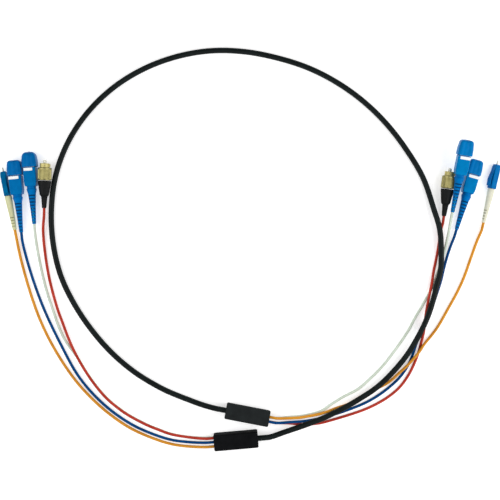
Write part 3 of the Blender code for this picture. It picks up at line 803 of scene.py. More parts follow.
@dataclass(frozen=True)
class BreakoutSleeve:
    """The moulded sleeve where the cable opens into its pigtails."""

    end: End
    placement: Placement
    length: float = 31.5
    width: float = 11.5
    height: float = 10.5
    corner: float = 1.2
    end_edge: float = 0.9

    def build(self) -> Piece:
        """Build the sleeve's body.

        Returns:
            The sleeve.
        """
        name = f"sleeve_{self.end.value}"
        widths, heights = straight(0.0, self.length, self.width), straight(0.0, self.length, self.height)
        mesh = loft(name, Block(widths, heights, self.corner, self.end_edge, self.end_edge).rings())
        return add_piece(
            f"{name}_moulding", mesh, self.placement.matrix(), SLEEVE_RUBBERS[self.end], "cable", name
        )


@dataclass(frozen=True)
class Connector:
    """What the kinds of connector share: a name, a place and a ferrule in its seat.

    Attributes:
        fibre: The pigtail that it ends.
        end: The end of the cable that it belongs to.
        placement: Where it lies.
    """

    kind: ClassVar[str]
    fibre: Fibre
    end: End
    placement: Placement
    ferrule_radius: float = 1.25
    ferrule_reach: float = 3.4
    ferrule_dome: float = 0.08
    ferrule_chamfer: float = 0.25
    ferrule_ease: float = 0.1
    seat_depth: float = 2.0
    cord_radius: float = 1.0

    @property
    def name(self) -> str:
        """The start of its pieces' names."""
        return f"{self.kind}_{self.end.value}"

    @property
    def mouth(self) -> float:
        """The level of the face that its ferrule stands out of."""
        raise NotImplementedError

    def build(self) -> list[Piece]:
        """Build all of its pieces, boot first."""
        raise NotImplementedError

    def add(self, piece: str, mesh: Mesh, finish: Finish, node: str = "", body: str = "") -> Piece:
        """Add one of its pieces; all names follow the connector's own.

        Args:
            piece: What the piece is called.
            mesh: Its mesh, in the connector's frame.
            finish: What it is made of.
            node: The CAD node that it stands for, where it does.
            body: The body that carries it, where that isn't the cable.

        Returns:
            The new piece.
        """
        piece, node, body = (part and f"{self.name}_{part}" for part in (piece, node, body))
        return add_piece(piece, mesh, self.placement.matrix(), finish, body or "cable", node)

    def add_slotted_boot(self, boot: SlottedBoot, rubber: Finish, bared: Finish, slot: Finish) -> Piece:
        """Add its boot with the three finishes that it shows.

        Args:
            boot: The boot's shape.
            rubber: What it is made of.
            bared: The jacket in its open slots.
            slot: The skin of its slots, painted darker as painted shade.

        Returns:
            The boot.
        """
        mesh = boot.mesh(f"{self.name}_boot")
        piece = self.add("strain_boot", mesh, rubber, "boot")
        mesh.materials.append(bared.make())
        mesh.materials.append(slot.make())
        return piece

    def bored(self, rings: list[Ring], ease: float) -> list[Ring]:
        """Sink the ferrule's seat into a block's front face.

        Args:
            rings: The block's rings.
            ease: The size of the chamfer round the seat's mouth.

        Returns:
            The rings, with those of the seat.
        """
        seat = self.ferrule_radius + CLEARANCE
        bore = [(seat + ease, self.mouth), (seat, self.mouth - ease), (seat, self.mouth - self.seat_depth)]
        return rings + [circle_within(rings[0], radius, level) for radius, level in bore]

    def build_ferrule(self) -> Piece:
        """Build the ceramic ferrule with its eased rear and its domed, chamfered tip.

        Returns:
            The ferrule.
        """
        radius, dome, ease = self.ferrule_radius, self.ferrule_dome, self.ferrule_ease
        rear, tip = self.mouth - self.seat_depth + CLEARANCE, self.mouth + self.ferrule_reach
        profile = [
            (0.0, tip),
            (radius * 0.45, tip - dome / 4.0),
            (radius - self.ferrule_chamfer, tip - dome),
            (radius, tip - dome - self.ferrule_chamfer),
            (radius, rear + ease),
            (radius - ease, rear),
            (0.0, rear),
        ]
        return self.add("ceramic", turned(self.name, profile), ZIRCONIA, "ferrule")


@dataclass(frozen=True)
class ScConnector(Connector):
    """A push-pull connector: boot, grip housing, plug frame, ferrule and dust cap."""

    housing_width: float = 9.0
    housing_height: float = 7.4
    housing_length: float = 13.5
    housing_corner: float = 0.9
    housing_edge: float = 0.4
    rear_taper_length: float = 3.2
    rear_taper_depth: float = 0.6
    bore_corner: float = 0.4
    bore_ease: float = 0.1
    frame_width: float = 6.4
    frame_height: float = 5.4
    frame_corner: float = 0.5
    frame_rear_edge: float = 0.1
    frame_front_edge: float = 0.35
    frame_reach: float = 5.5
    seat_ease: float = 0.15
    cap_width: float = 10.6
    cap_height: float = 8.8
    cap_length: float = 10.7
    cap_draft: float = 0.2
    cap_wall: float = 1.2
    cap_corner: float = 1.9
    cap_lip: float = 0.25
    cap_flat_steps: int = 12
    nose_width: float = 9.0
    nose_height: float = 7.6
    nose_length: float = 6.0
    nose_edge: float = 1.9
    nose_dome: tuple[tuple[float, float], ...] = ((0.9, 0.14), (1.9, 0.22))
    channel_at: float = 1.5
    channel_width: float = 0.42
    channel_depth: float = 0.28
    channel_start: float = 0.8
    channel_rise: float = 1.5
    channel_stop: float = 1.0
    channel_fall: float = 2.0
    face_depth: float = 1.2
    boot_length: float = 27.0
    boot_tuck: float = 2.0
    neck_radius: float = 3.2
    neck_clearance: float = 0.1
    flare_radius: float = 3.6
    flare_run: float = 3.6
    waist_radius: float = 2.75
    middle_radius: float = 2.0
    middle_length: float = 12.0
    rear_radius: float = 1.35
    rear_edge: float = 0.1
    flare_edge: float = 0.2
    neck_step: float = 0.02
    grip_travel: float = 1.5
    first_slot: float = 1.6
    slot_pitch: float = 2.35
    slot_width: float = 0.85
    open_slots: int = 5
    shut_slots: int = 4
    open_floor: float = 0.94
    shut_floor: float = 1.08
    bar_length: float = 7.2
    bar_width: float = 2.0
    bar_corner: float = 0.35
    bar_shift: float = 0.7
    bar_setback: float = 0.5
    bar_height: float = 0.05
    bar_edge: float = 0.04

    @property
    def name(self) -> str:
        """The start of its pieces' names."""
        return f"sc_{self.fibre.value}_{self.end.value}"

    @property
    def housing_front(self) -> float:
        """The level of its housing's front face."""
        return self.boot_length + self.housing_length

    @property
    def mouth(self) -> float:
        """The level of its plug frame's front face."""
        return self.housing_front + self.frame_reach

    def build(self) -> list[Piece]:
        """Build all of its pieces, boot first."""
        back = [self.build_boot(), self.build_housing(), self.build_bar()]
        return [*back, self.build_plug_frame(), self.build_ferrule(), self.build_cap()]

    def build_boot(self) -> Piece:
        """Build the slotted boot; its rear slots reach the cord and its front ones don't.

        Returns:
            The boot.
        """
        flare = self.boot_length - self.grip_travel - CLEARANCE
        profile = [
            (0.0, self.rear_radius - self.rear_edge),
            (1.5 * self.rear_edge, self.rear_radius),
            (self.middle_length, self.middle_radius),
            (flare - self.flare_run, self.waist_radius),
            (flare - 1.5 * self.flare_edge, self.flare_radius),
            (flare, self.flare_radius - self.flare_edge),
            (flare + self.neck_step, self.neck_radius),
            (self.boot_length + self.boot_tuck, self.neck_radius),
        ]
        floors = [self.open_floor] * self.open_slots + [self.shut_floor] * self.shut_slots
        slots = [(self.first_slot + self.slot_pitch * count, floor) for count, floor in enumerate(floors)]
        # A white cord in the blue boot's slots is painted cyan: painted light through the rubber
        bared = PAINTED_BLUE_LIGHT_JACKET if self.fibre is Fibre.WHITE else PIGTAIL_JACKETS[self.fibre]
        boot = SlottedBoot(profile, self.cord_radius, slots, self.slot_width)
        return self.add_slotted_boot(boot, BOOT_RUBBER, bared, SLOT_SHADE_RUBBER)

    def build_housing(self) -> Piece:
        """Build the grip housing round its through bore.

        Returns:
            The housing.
        """
        rear, front, edge = self.boot_length, self.housing_front, self.housing_edge
        narrow, wide = self.housing_width - 2.0 * self.rear_taper_depth, self.housing_width
        widths = [(rear, narrow), *straight(rear + self.rear_taper_length, front, wide)]
        block = Block(widths, straight(rear, front, self.housing_height), self.housing_corner, edge, edge)
        bore = self.hollow(2.0 * (self.neck_radius + self.neck_clearance), front, rear)
        mesh = loft(self.name, block.rings() + bore, joined=True)
        return self.add("grip_shell", mesh, HOUSING_PLASTICS[self.end], "housing", "grip")

    def hollow(self, height: float, start: float, stop: float, flat_steps: int = 1) -> list[Ring]:
        """Give the rings of a hollow as wide as the plug frame and its clearance.

        Args:
            height: The hollow's height.
            start: The level of its first ring.
            stop: The level of its last ring.
            flat_steps: Edges in each flat.

        Returns:
            The rings in metres.
        """
        width, ease = self.frame_width + 2.0 * CLEARANCE, math.copysign(self.bore_ease, stop - start)
        levels = (start, start + ease, stop - ease, stop)
        return [
            rounded_rectangle(width, height, self.bore_corner, level, flat_steps=flat_steps) for level in levels
        ]

    def build_bar(self) -> Piece:
        """Build the white bar printed across the housing, just behind the cap.

        Returns:
            The printed bar.
        """
        outward = 1.0 if self.end is End.LEFT else -1.0
        level = self.housing_front - self.bar_setback - self.bar_width / 2.0
        middle = Vector((outward * self.bar_shift, self.housing_height / 2.0, level)) * MM
        height, edge = self.bar_height, self.bar_edge
        layers = ((-height, 0.0), (height - edge / 2.0, 0.0), (height, edge))
        rings = [
            rounded_rectangle(
                self.bar_length - 2.0 * inset, self.bar_width - 2.0 * inset, self.bar_corner - inset, rise
            )
            for rise, inset in layers
        ]
        mesh = loft(f"{self.name}_bar", rings)
        mesh.transform(Matrix.Translation(middle) @ Matrix.Rotation(-math.pi / 2.0, 4, "X"))
        return self.add("printed_bar", mesh, WHITE_INK, body="grip")

    def build_plug_frame(self) -> Piece:
        """Build the plug frame with the seat of its ferrule.

        Returns:
            The plug frame.
        """
        rear, front = self.boot_length + self.boot_tuck + CLEARANCE, self.mouth
        widths, heights = straight(rear, front, self.frame_width), straight(rear, front, self.frame_height)
        block = Block(widths, heights, self.frame_corner, self.frame_rear_edge, self.frame_front_edge)
        mesh = loft(self.name, self.bored(block.rings(), self.seat_ease))
        return self.add("plug", mesh, FRAME_PLASTIC, "plug_frame")

    def build_cap(self) -> Piece:
        """Build the soft dust cap, ribbed lengthwise above and below, over its cavity.

        Returns:
            The cap.
        """
        rear = self.housing_front + CLEARANCE
        front = rear + self.cap_length
        waist = front - self.nose_length
        block = Block(
            [(rear, self.cap_width), (waist, self.cap_width - self.cap_draft), (front, self.nose_width)],
            [(rear, self.cap_height), (waist, self.cap_height - self.cap_draft / 2.0), (front, self.nose_height)],
            self.cap_corner,
            self.cap_lip,
            self.nose_edge,
            self.cap_flat_steps,
        )
        outer = [[self.ribbed(point, rear, front) for point in ring] for ring in block.rings(edge_steps=8)]
        for inset, rise in self.nose_dome:
            lift = Vector((0.0, 0.0, rise * MM))
            outer.append([point + lift for point in block.ring(front, self.nose_edge + inset)])
        height = self.frame_height + 2.0 * CLEARANCE
        cavity = self.hollow(height, front - self.cap_wall, rear, self.cap_flat_steps)
        mesh = loft(self.name, cavity + outer)
        return self.add("dust_cover", mesh, CAP_VINYLS[self.end], "cap", "dust_cap")

    def ribbed(self, point: Vector, rear: float, front: float) -> Vector:
        """Sink the two shallow channels that run along the cap's wide faces.

        Args:
            point: A point of the cap's skin.
            rear: The level of the cap's mouth.
            front: The level of its nose.

        Returns:
            The point, sunk where a channel runs.
        """
        across, along = abs(point.x) / MM, point.z / MM
        swell = math.exp(-(((across - self.channel_at) / self.channel_width) ** 2))
        fade_in = min(1.0, max(0.0, (along - rear - self.channel_start) / self.channel_rise))
        fade_out = min(1.0, max(0.0, (front - self.channel_stop - along) / self.channel_fall))
        depth = self.channel_depth * swell * (fade_in * fade_out)
        if abs(point.y) / MM < self.nose_height / 2.0 - self.face_depth:
            return point
        return Vector((point.x, point.y - math.copysign(depth * MM, point.y), point.z))


@dataclass(frozen=True)
class LcConnector(Connector):
    """A small connector with a flexing latch: housing, ferrule and boot."""

    kind: ClassVar[str] = "lc"
    body_width: float = 4.6
    body_length: float = 17.5
    body_corner: float = 0.4
    body_rear_edge: float = 0.12
    body_edge: float = 0.3
    nose_width: float = 3.6
    nose_length: float = 2.4
    ferrule_radius: float = 0.625
    ferrule_reach: float = 3.0
    seat_ease: float = 0.1
    latch_width: float = 3.2
    latch_thickness: float = 0.8
    latch_rise: float = 2.0
    latch_setback: float = 2.6
    latch_length: float = 13.4
    latch_edge: float = 0.14
    trigger_length: float = 5.0
    boot_length: float = 25.0
    boot_front_radius: float = 2.5
    boot_front_edge: float = 0.25
    boot_rear_radius: float = 1.35
    boot_rear_edge: float = 0.1
    boot_straight: float = 2.5
    first_slot: float = 2.6
    slot_pitch: float = 2.1
    slot_width: float = 0.5
    slot_count: int = 4
    slot_floor: float = 1.04

    @property
    def mouth(self) -> float:
        """The level of its housing's front face."""
        return self.boot_length + self.body_length

    def build(self) -> list[Piece]:
        """Build all of its pieces, boot first."""
        return [self.build_boot(), self.build_housing(), self.build_ferrule()]

    def build_boot(self) -> Piece:
        """Build the boot, with short slots near its rear.

        Returns:
            The boot.
        """
        front = self.boot_length - CLEARANCE
        profile = [
            (0.0, self.boot_rear_radius - self.boot_rear_edge),
            (1.2 * self.boot_rear_edge, self.boot_rear_radius),
            (self.boot_length - self.boot_straight, self.boot_front_radius),
            (front - self.boot_front_edge, self.boot_front_radius),
            (front, self.boot_front_radius - self.boot_front_edge),
        ]
        middles = [self.first_slot + self.slot_pitch * count for count in range(self.slot_count)]
        slots = [(middle, self.slot_floor) for middle in middles]
        boot = SlottedBoot(profile, self.cord_radius, slots, self.slot_width)
        return self.add_slotted_boot(boot, LC_BOOTS[self.end], PIGTAIL_JACKETS[self.fibre], LC_SLOT_SHADE_RUBBER)

    def build_housing(self) -> Piece:
        """Build the housing with its ferrule's seat and its latch, which is one moulding with it.

        Returns:
            The housing.
        """
        taper = self.mouth - self.nose_length
        sizes = [*straight(self.boot_length, taper, self.body_width), (self.mouth, self.nose_width)]
        block = Block(sizes, sizes, self.body_corner, self.body_rear_edge, self.body_edge)
        mesh = loft(self.name, self.bored(block.rings(), self.seat_ease))
        form = bmesh.new()
        form.from_mesh(mesh)
        self.add_latch(form)
        form.to_mesh(mesh)
        form.free()
        return self.add("shell", mesh, LC_PLASTICS[self.end], "housing")

    def add_latch(self, form: bmesh.types.BMesh) -> None:
        """Draw the latch's arm across the housing's top.

        Args:
            form: The housing's mesh.
        """
        deck = self.body_width / 2.0
        root = self.mouth - self.latch_setback
        tail = root - self.latch_length
        trigger = tail + self.trigger_length
        thick, rise = self.latch_thickness, deck + self.latch_rise
        outline = [
            (root, deck - thick),
            (root, deck),
            (trigger, rise),
            (tail, rise - thick / 2.0),
            (tail, rise - 1.5 * thick),
            (trigger, rise - thick),
            (root - 2.0 * thick, deck),
            (root - 2.0 * thick, deck - thick),
        ]
        sides = [
            [form.verts.new(Vector((x, up, along)) * MM) for along, up in outline]
            for x in (-self.latch_width / 2.0, self.latch_width / 2.0)
        ]
        faces = [form.faces.new(side) for side in sides]
        for i in range(len(outline)):
            j = (i + 1) % len(outline)
            faces.append(form.faces.new((sides[0][i], sides[0][j], sides[1][j], sides[1][i])))
        bmesh.ops.recalc_face_normals(form, faces=faces)
        round_off(form, {edge for face in faces for edge in face.edges}, self.latch_edge)


@dataclass(frozen=True)
class FcConnector(Connector):
    """A screwed metal connector: boot, coupling nut, keyed body and ferrule."""

    kind: ClassVar[str] = "fc"
    nut_radius: float = 4.9
    nut_length: float = 9.1
    nut_chamfer: float = 0.5
    nut_lip: float = 1.6
    front_chamfer: float = 0.3
    bore_chamfer: float = 0.25
    lip_chamfer: float = 0.15
    front_band: float = 1.3
    rear_band: float = 0.9
    knurl_count: int = 40
    knurl_depth: float = 0.22
    knurl_run_out: float = 0.1
    stem_radius: float = 3.1
    flange_radius: float = 3.9
    flange_thickness: float = 1.2
    barrel_radius: float = 3.4
    barrel_reach: float = 3.0
    recess_radius: float = 2.2
    seat_depth: float = 5.0
    ferrule_reach: float = 2.4
    body_ease: float = 0.18
    key_width: float = 2.0
    key_height: float = 0.55
    key_setback: float = 0.6
    key_gap: float = 0.4
    key_edge: float = 0.12
    boot_length: float = 19.5
    boot_ease: float = 0.5
    collar_radius: float = 4.7
    collar_straight: float = 0.8
    collar_rear_radius: float = 3.3
    collar_length: float = 10.0
    shoulder_length: float = 1.5
    tail_front_radius: float = 2.2
    rear_radius: float = 1.55

    @property
    def nut_rear(self) -> float:
        """The level of the nut's rear face."""
        return self.boot_length + CLEARANCE

    @property
    def nut_front(self) -> float:
        """The level of the nut's front face."""
        return self.nut_rear + self.nut_length

    @property
    def mouth(self) -> float:
        """The level of the barrel's front face."""
        return self.nut_front + self.barrel_reach

    def build(self) -> list[Piece]:
        """Build all of its pieces, boot first."""
        return [self.build_boot(), self.build_nut(), self.build_body(), self.build_ferrule()]

    def build_boot(self) -> Piece:
        """Build the boot with its shoulder.

        Returns:
            The boot.
        """
        collar_rear = self.boot_length - self.collar_length
        profile = [
            (0.0, self.boot_length),
            (self.collar_radius, self.boot_length),
            (self.collar_radius, self.boot_length - self.collar_straight),
            (self.collar_rear_radius, collar_rear),
            (self.tail_front_radius, collar_rear - self.shoulder_length),
            (self.rear_radius, 0.0),
            (0.0, 0.0),
        ]
        return self.add("strain_boot", turned(self.name, eased(profile, self.boot_ease)), BLACK_BOOT, "boot")

    def build_nut(self) -> Piece:
        """Build the coupling nut with its straight knurl between plain bands.

        Returns:
            The nut.
        """
        rear, front, lip = self.nut_rear, self.nut_front, self.nut_rear + self.nut_lip
        lip_bore, bore = self.stem_radius + CLEARANCE, self.flange_radius + CLEARANCE
        radius, chamfer = self.nut_radius, self.nut_chamfer
        mouth = [
            (bore, lip),
            (bore, front - self.front_chamfer),
            (bore + self.bore_chamfer, front),
            (radius - chamfer, front),
            (radius, front - chamfer),
            (radius, front - self.front_band),
        ]
        tail = [
            (radius, rear + self.rear_band),
            (radius, rear + chamfer),
            (radius - chamfer, rear),
            (lip_bore + self.lip_chamfer, rear),
            (lip_bore, rear + self.lip_chamfer),
            (lip_bore, lip),
        ]
        half, full = 1.5 * self.knurl_run_out, 2.5 * self.knurl_run_out
        grooves = [(front - self.front_band - half, 0.5), (front - self.front_band - full, 1.0)]
        grooves += [(rear + self.rear_band + full, 1.0), (rear + self.rear_band + half, 0.5)]
        steps = self.knurl_count * len(KNURL_TOOTH)
        rings = [circle(size, level, steps) for size, level in mouth]
        rings += [self.knurled(level, steps, self.knurl_depth * share) for level, share in grooves]
        rings += [circle(size, level, steps) for size, level in tail]
        return self.add("knurled_nut", loft(self.name, rings, joined=True), NUT_BRASS, "nut", "coupling_nut")

    def knurled(self, level: float, steps: int, depth: float) -> Ring:
        """Give one ring of the knurl.

        Args:
            level: Its place along the axis.
            steps: Points round it.
            depth: How deep its grooves go.

        Returns:
            The ring's points in metres.
        """
        depths = [depth * KNURL_TOOTH[step % len(KNURL_TOOTH)] for step in range(steps)]
        turns = [2.0 * math.pi * step / steps for step in range(steps)]
        return [polar(self.nut_radius - sunk, turn, level) for sunk, turn in zip(depths, turns)]

    def build_body(self) -> Piece:
        """Build the body: stem and flange inside the nut, and the keyed barrel before it.

        Returns:
            The body.
        """
        flange_rear = self.nut_rear + self.nut_lip + CLEARANCE
        flange_front = flange_rear + self.flange_thickness
        floor = self.mouth - self.seat_depth
        profile = [
            (0.0, floor),
            (self.recess_radius, floor),
            (self.recess_radius, self.mouth),
            (self.barrel_radius, self.mouth),
            (self.barrel_radius, flange_front),
            (self.flange_radius, flange_front),
            (self.flange_radius, flange_rear),
            (self.stem_radius, flange_rear),
            (self.stem_radius, self.nut_rear),
            (0.0, self.nut_rear),
        ]
        mesh = turned(self.name, eased(profile, self.body_ease, 2))
        form = bmesh.new()
        form.from_mesh(mesh)
        rear, front = self.nut_front + self.key_gap, self.mouth - self.key_setback
        made = bmesh.ops.create_cube(form, size=MM)["verts"]
        size = Matrix.Diagonal((self.key_height * 2.0, self.key_width, front - rear, 1.0))
        middle = Matrix.Translation(Vector((-self.barrel_radius, 0.0, (rear + front) / 2.0)) * MM)
        bmesh.ops.transform(form, matrix=middle @ size, verts=made)
        round_off(form, {edge for vert in made for edge in vert.link_edges}, self.key_edge)
        form.to_mesh(mesh)
        form.free()
        return self.add("keyed_body", mesh, BODY_BRASS, "body")


# Cords ------------------------------------------------------------------------------------------


def smooth_route(points: list[Vector], spacing: float, lowest: float) -> list[Vector]:
    """Keep the straight leads and read even points from a Catmull-Rom curve between them.

    Args:
        points: The route, its first and last legs straight.
        spacing: How far apart the points are.
        lowest: The lowest that a point may lie.

    Returns:
        The even points, all in metres.
    """
    dense = [points[1]]
    for a, b, c, d in zip(points, points[1:], points[2:], points[3:]):
        t1 = (b - a).length ** 0.5
        t2 = t1 + (c - b).length ** 0.5
        t3 = t2 + (d - c).length ** 0.5
        for step in range(1, CURVE_CUTS + 1):
            t = t1 + (t2 - t1) * step / CURVE_CUTS
            ab = a.lerp(b, t / t1)
            bc = b.lerp(c, (t - t1) / (t2 - t1))
            cd = c.lerp(d, (t - t2) / (t3 - t2))
            abc = ab.lerp(bc, t / t2)
            bcd = bc.lerp(cd, (t - t1) / (t3 - t1))
            dense.append(abc.lerp(bcd, (t - t1) / (t2 - t1)))
    lengths = [0.0]
    for a, b in zip(dense, dense[1:]):
        lengths.append(lengths[-1] + (b - a).length)
    runs = max(1, round(lengths[-1] / spacing))
    even, k = [dense[0]], 0
    for run in range(1, runs):
        target = lengths[-1] * run / runs
        while lengths[k + 1] < target:
            k += 1
        share = (target - lengths[k]) / (lengths[k + 1] - lengths[k])
        even.append(dense[k].lerp(dense[k + 1], share))
    even = [points[0], *even, dense[-1], points[-1]]
    return [Vector((point.x, point.y, max(point.z, lowest))) for point in even]


@dataclass(frozen=True)
class Cord:
    """One round cord from where it leaves one piece to where it meets another.

    Attributes:
        name: The CAD node that it stands for.
        finish: Its jacket.
        diameter: Its diameter.
        lead: The length of its straight ends.
        spacing: The distance between its points.
        tuck: How far it goes into the piece at either end.
        side_cuts: Blender's cuts in each quarter of its round.
    """

    name: str
    finish: Finish
    diameter: float
    lead: float
    spacing: float
    tuck: float = 0.8
    side_cuts: int = 6

    def lay(
        self, start: Vector, start_way: Vector, inner: list[Point], finish_at: Vector, finish_way: Vector
    ) -> tuple[Piece, float]:
        """Lay the cord along its route.

        Args:
            start: Where it leaves, in metres.
            start_way: The direction in which it leaves.
            inner: The points of its route, in millimetres.
            finish_at: Where it arrives, in metres.
            finish_way: The direction in which it arrives.

        Returns:
            The cord and its length in metres.
        """
        tuck, lead = self.tuck * MM, self.lead * MM
        route = [start - start_way * tuck, start + start_way * lead]
        route += [Vector(point) * MM for point in inner]
        route += [finish_at - finish_way * lead, finish_at + finish_way * tuck]
        points = smooth_route(route, self.spacing * MM, self.diameter / 2.0 * MM)
        curve = bpy.data.curves.new(self.name, "CURVE")
        curve.dimensions = "3D"
        curve.bevel_depth = self.diameter / 2.0 * MM
        curve.bevel_resolution = self.side_cuts
        curve.use_fill_caps = True
        spline = curve.splines.new("POLY")
        spline.points.add(len(points) - 1)
        for knot, point in zip(spline.points, points):
            knot.co = (*point, 1.0)
        spline.use_smooth = True
        curve.materials.append(self.finish.make())
        piece = add_object(f"{self.name}_jacket", curve)
        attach(piece, "cable")
        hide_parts(self.name)
        length = sum((b - a).length for a, b in zip(points, points[1:]))
        LOG.info("%s: %d points, %.0f mm, %s", self.name, len(points), length / MM, self.finish.name)
        return piece, length


SLEEVES = {
    End.LEFT: Placement((5.7, -135.5, 5.25), -95.0),
    End.RIGHT: Placement((-17.3, -115.5, 5.9), 100.9, 0.0, -8.0),
}

# Where each pigtail leaves its sleeve's front face: across it and up
FAN_EXITS = {
    (Fibre.RED, End.LEFT): (-3.1, 1.2),
    (Fibre.BLUE, End.LEFT): (0.0, 0.0),
    (Fibre.ORANGE, End.LEFT): (3.1, 0.0),
    (Fibre.WHITE, End.LEFT): (-3.1, -1.2),
    (Fibre.ORANGE, End.RIGHT): (1.3, 1.2),
    (Fibre.BLUE, End.RIGHT): (-2.0, 1.2),
    (Fibre.WHITE, End.RIGHT): (1.3, -1.2),
    (Fibre.RED, End.RIGHT): (-2.0, -1.2),
}

CONNECTORS = {
    (Fibre.ORANGE, End.LEFT): Placement((-168.7, 13.3, 2.2), -11.0, 0.8, 0.0),
    (Fibre.BLUE, End.LEFT): Placement((-163.8, 11.6, 3.1), -5.3, 2.0, 0.0),
    (Fibre.WHITE, End.LEFT): Placement((-154.5, 17.5, 3.1), -3.8, 2.0, 0.0),
    (Fibre.RED, End.LEFT): Placement((-147.4, 28.9, 3.3), 2.0, 5.0, 0.0),
    (Fibre.RED, End.RIGHT): Placement((138.8, 23.1, 3.3), 6.5, 5.0, 0.0),
    (Fibre.WHITE, End.RIGHT): Placement((143.9, 25.8, 7.6), 9.0, 11.0, 0.0),
    (Fibre.BLUE, End.RIGHT): Placement((147.9, 13.6, 3.1), 15.8, 2.0, 0.0),
    (Fibre.ORANGE, End.RIGHT): Placement((167.5, 18.5, 2.2), 12.6, 1.9, -62.0),
}

# The cable's route round the loop, from the right end's sleeve to the left end's, in millimetres
CABLE_ROUTE = [
    (-35.0, -111.5, 4.2), (-44.4, -108.3, 2.8), (-53.8, -104.8, 2.0), (-63.7, -100.3, 2.0),
    (-81.9, -89.4, 2.0), (-98.4, -75.7, 2.0), (-113.0, -59.3, 2.0), (-125.7, -40.6, 2.0),
    (-135.8, -19.5, 2.0), (-141.3, 3.9, 2.0), (-142.5, 28.5, 2.0), (-139.2, 53.3, 2.0),
    (-130.2, 77.0, 2.0), (-116.0, 98.2, 2.0), (-97.5, 115.8, 2.0), (-75.9, 129.0, 2.0),
    (-52.3, 137.7, 2.0), (-27.9, 141.8, 2.0), (-3.6, 141.1, 2.0), (19.8, 136.6, 2.0),
    (42.1, 129.4, 2.0), (62.8, 118.8, 2.0), (81.6, 105.3, 2.0), (98.1, 89.2, 2.0),
    (112.3, 70.7, 2.0), (124.3, 50.4, 2.0), (131.6, 27.8, 3.8), (135.4, 14.1, 5.0),
    (136.6, -1.2, 4.6), (136.2, -15.4, 4.6), (133.2, -27.6, 4.6), (130.5, -37.7, 5.2),
    (127.6, -46.0, 6.4), (123.4, -55.6, 7.1), (118.4, -65.5, 6.2), (112.8, -75.1, 5.0),
    (105.0, -85.1, 4.6), (91.6, -98.5, 4.6), (77.8, -107.8, 4.6), (65.9, -114.6, 4.6),
    (53.6, -120.7, 4.6), (39.3, -126.2, 4.8), (25.0, -131.0, 5.1),
]

